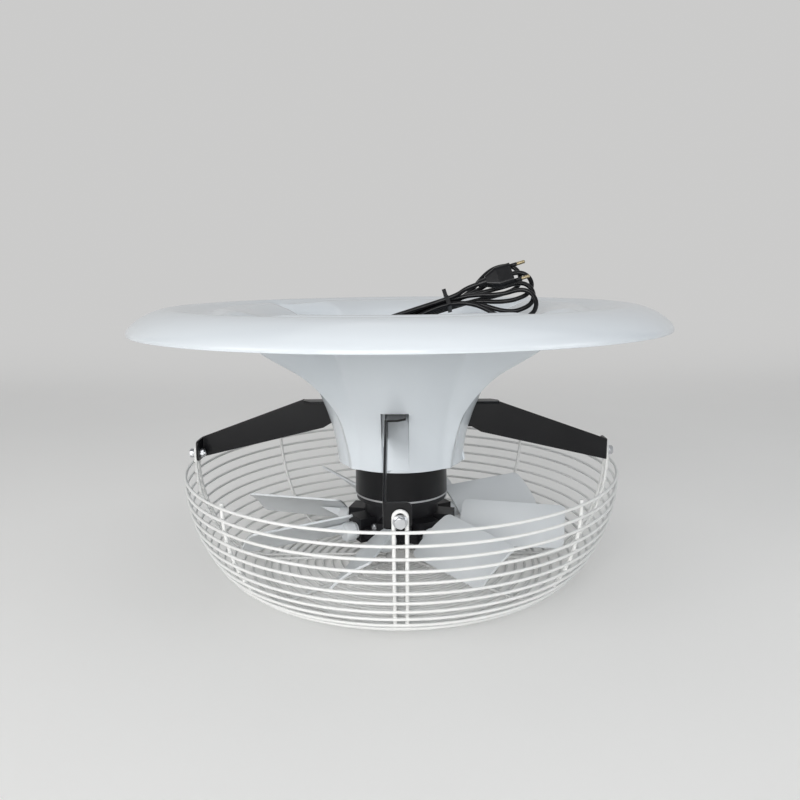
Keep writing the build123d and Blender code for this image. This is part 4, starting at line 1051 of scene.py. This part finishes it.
plug_sleeve, plug_length = 0.010, 0.032
start_station = (-0.075, -0.006, -strand_middle * waist_pitch - 0.002)
straight_end = 0.007
last_station = (0.033, 0.006, 0.0225)
corners = []
first_left = (left_lobes[0][0], left_lobes[0][1], layer(0))
corners += strand_sweep((start_station[0] - straight_end, *start_station[1:]), first_left)
for number, (left, low, high) in enumerate(left_lobes):
    strand = 2 * number
    corners += lobe_turn((left, low, layer(strand)), (left, high, layer(strand + 1)), -1)
    corners += strand_sweep((left, high, layer(strand + 1)), waist(strand + 1, -1))
    if number < len(right_lobes):
        right, top, bottom = right_lobes[number]
        corners += strand_sweep(waist(strand + 1, 1), (right, top, layer(strand + 1)))
        corners += lobe_turn((right, top, layer(strand + 1)), (right, bottom, layer(strand + 2)), 1)
        corners += strand_sweep((right, bottom, layer(strand + 2)), waist(strand + 2, 1))
        next_left, next_low, _ = left_lobes[number + 1]
        corners += strand_sweep(waist(strand + 2, -1), (next_left, next_low, layer(strand + 2)))
corners += strand_sweep(waist(strand + 1, 1), last_station)
corners.append((last_station[0] + straight_end, *last_station[1:]))

gland_mouth = Vector((0.060, -0.006, 0.2705))
hank_start = hank_point(*start_station)
route = [gland_mouth, Vector((0.060, -0.006, 0.290)), Vector((0.049, -0.001, 0.304))]
route += [hank_start + hank_along * 0.034]
route += [hank_point(*corner) for corner in corners]
print("points on the route:", len(route))

# %% The cord as one smooth curve
cord_curve = bpy.data.curves.new("mains_lead", "CURVE")
cord_curve.dimensions = "3D"
cord_curve.resolution_u = 8
cord_curve.bevel_depth = cord_diameter / 2
cord_curve.bevel_resolution = 5
cord_curve.use_fill_caps = True
line = cord_curve.splines.new("NURBS")
line.points.add(len(route) - 1)
for point, place in zip(line.points, route):
    point.co = (*place, 1)
line.order_u = 3
line.use_endpoint_u = True
mains_lead = bpy.data.objects.new("mains_lead", cord_curve)
bpy.context.scene.collection.objects.link(mains_lead)
cord_curve.materials.append(cord_sheath)
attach(mains_lead, "frame")
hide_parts("mains_cord", "cord_hank")


def line_length(curve_object):
    """Length of the curve's middle line, read from it with its bevel taken off for a moment."""
    data = curve_object.data.copy()
    data.bevel_depth = 0
    bare = bpy.data.objects.new("bare_line", data)
    bpy.context.scene.collection.objects.link(bare)
    bpy.context.view_layer.update()
    graph = bpy.context.evaluated_depsgraph_get()
    mesh = bpy.data.meshes.new_from_object(bare.evaluated_get(graph))
    ends = [[mesh.vertices[i].co for i in edge.vertices] for edge in mesh.edges]
    total = sum((near - far).length for near, far in ends)
    bpy.data.objects.remove(bare)
    bpy.data.meshes.remove(mesh)
    return total


# %% [markdown]
# ## Sleeves on the plug's pins
# The pins of a two-pin plug carry black sleeves next to its face, so that no live metal can be
# touched while the plug is half out. Each is a short turned tube with a rounded end.

# %% Sleeves on the pins
plug_face = last_station[0] + straight_end + plug_sleeve + plug_length
sleeve_sink = 0.0005
sleeve_length = 0.0095
sleeve_radius = 0.0023
half_pin_gap = 0.0095
build = bmesh.new()
for side in (-1, 1):
    across = last_station[1] + side * half_pin_gap
    middle = hank_point(plug_face - sleeve_sink, across, last_station[2])
    turn = hank_along.to_track_quat("Z", "Y").to_matrix().to_4x4()
    outline = [(sleeve_radius, 0), (sleeve_radius, sleeve_length - 0.0004), (0.0021, sleeve_length)]
    add_turned(build, Matrix.Translation(middle) @ turn, outline, 24)
pin_sleeves = place_mesh("plug_pin_sleeves", build, "black_plastic")
print("pin sleeves: 2")

# %% [markdown]
# ## The cord's facts
# The length is the tube's own, and it is measured here along the curve's middle line.

# %% Length
cord_length = line_length(mains_lead)
print("cord length:", round(cord_length, 4), "m")

# %% [markdown]
# ## Floor and backdrop
# The fan stands on a plain pale floor that curves up far behind it without a line. Where the
# camera or a mirror image meets the floor it glows a little, and the backdrop glows evenly, so
# both look pale while the lamps stay low enough for the white dish to keep its shading. The
# glow reaches no other surface, and the fan's own shadow stays on the floor.

# %% Floor and backdrop sheet
floor_mesh = bpy.data.meshes.new("floor")
build = bmesh.new()
half_width = 6.0
front_edge, backdrop_top = -4.0, 6.0
rise_start, rise_radius = 1.6, 2.2
profile = [(front_edge, 0.0), (0.0, 0.0)]
for i in range(25):
    turn = math.pi / 2 * i / 24
    depth = rise_start + rise_radius * math.sin(turn)
    profile.append((depth, rise_radius * (1 - math.cos(turn))))
profile.append((rise_start + rise_radius, backdrop_top))
rows = [[Vector((x, y, z)) for x in (-half_width, half_width)] for y, z in profile]
add_grid(build, rows)
build.to_mesh(floor_mesh)
build.free()
floor_mesh.shade_smooth()
floor = bpy.data.objects.new("floor", floor_mesh)
bpy.context.scene.collection.objects.link(floor)

# %% Floor finish
floor_shade = 0.60
floor_glow = 0.17
glow_from, glow_to = 0.5, 2.4
pale_floor = new_material("pale_floor", 0.8)
colour_drift(pale_floor, (0.76, 0.755, 0.74), (0.79, 0.785, 0.77), 1.5)
tree = pale_floor.node_tree
rays = tree.nodes.new("ShaderNodeLightPath")
seen = rays.outputs["Is Camera Ray"]
for kind in ("Is Glossy Ray", "Is Transmission Ray"):
    either = tree.nodes.new("ShaderNodeMath")
    either.operation = "MAXIMUM"
    tree.links.new(seen, either.inputs[0])
    tree.links.new(rays.outputs[kind], either.inputs[1])
    seen = either.outputs["Value"]
apart = tree.nodes.new("ShaderNodeSeparateXYZ")
tree.links.new(tree.nodes["place"].outputs["Object"], apart.inputs["Vector"])
depth = tree.nodes.new("ShaderNodeMapRange")
depth.interpolation_type = "SMOOTHSTEP"
depth.inputs["From Min"].default_value = glow_from
depth.inputs["From Max"].default_value = glow_to
tree.links.new(apart.outputs["Y"], depth.inputs["Value"])
far_share = tree.nodes.new("ShaderNodeMath")
far_share.operation = "MULTIPLY"
tree.links.new(seen, far_share.inputs[0])
tree.links.new(depth.outputs["Result"], far_share.inputs[1])
near_glow = tree.nodes.new("ShaderNodeMath")
near_glow.operation = "MULTIPLY"
near_glow.inputs[1].default_value = floor_glow
tree.links.new(seen, near_glow.inputs[0])
shader = tree.nodes["Principled BSDF"]
shader.inputs["Emission Color"].default_value = (1.0, 0.995, 0.98, 1)
tree.links.new(near_glow.outputs["Value"], shader.inputs["Emission Strength"])
glow = tree.nodes.new("ShaderNodeEmission")
glow.inputs["Color"].default_value = (1.0, 0.997, 0.99, 1)
glow.inputs["Strength"].default_value = floor_shade
blend = tree.nodes.new("ShaderNodeMixShader")
tree.links.new(far_share.outputs["Value"], blend.inputs["Fac"])
tree.links.new(shader.outputs["BSDF"], blend.inputs[1])
tree.links.new(glow.outputs["Emission"], blend.inputs[2])
tree.links.new(blend.outputs["Shader"], tree.nodes["Material Output"].inputs["Surface"])
floor_mesh.materials.append(pale_floor)
print("floor to the backdrop:", len(floor_mesh.polygons), "faces")

# %% [markdown]
# ## Light
# Broad soft lamps give the even light of a packing hall. The strongest one stands in front and
# low, because the neck hangs under the dish and would be dark under lamps from above. It stands a
# little to the left, and the left lamp is stronger than the right one, so that the neck's flutes
# still show their form.

# %% Light


def soft_lamp(name, place, target, size, power, tint=(1, 1, 1)):
    """A rectangular lamp that points at its target. Sizes in metres, power in watts."""
    data = bpy.data.lights.new(name, "AREA")
    data.shape = "RECTANGLE"
    data.size, data.size_y = size
    data.energy = power
    data.color = tint
    lamp = bpy.data.objects.new(name, data)
    lamp.location = place
    lamp.rotation_euler = (Vector(target) - Vector(place)).to_track_quat("-Z", "Y").to_euler()
    bpy.context.scene.collection.objects.link(lamp)


soft_lamp("ceiling_lamp", (0.2, 0.3, 2.6), (0, 0, 0.2), (2.6, 2.2), 11)
soft_lamp("left_lamp", (-2.1, -1.5, 1.1), (0, 0, 0.2), (1.6, 1.4), 15, (1.0, 0.985, 0.96))
soft_lamp("right_lamp", (2.2, -1.2, 0.9), (0, 0, 0.2), (1.2, 1.4), 10, (0.95, 0.98, 1.0))
soft_lamp("front_lamp", (-0.45, -2.5, 0.9), (0, 0, 0.22), (1.6, 1.4), 40)
world = bpy.data.worlds.new("hall")
bpy.context.scene.world = world
world.use_nodes = True
world.node_tree.nodes["Background"].inputs["Color"].default_value = (0.86, 0.89, 0.93, 1)
world.node_tree.nodes["Background"].inputs["Strength"].default_value = 0.26
bpy.context.scene.view_settings.view_transform = "Standard"
print("lamps set")
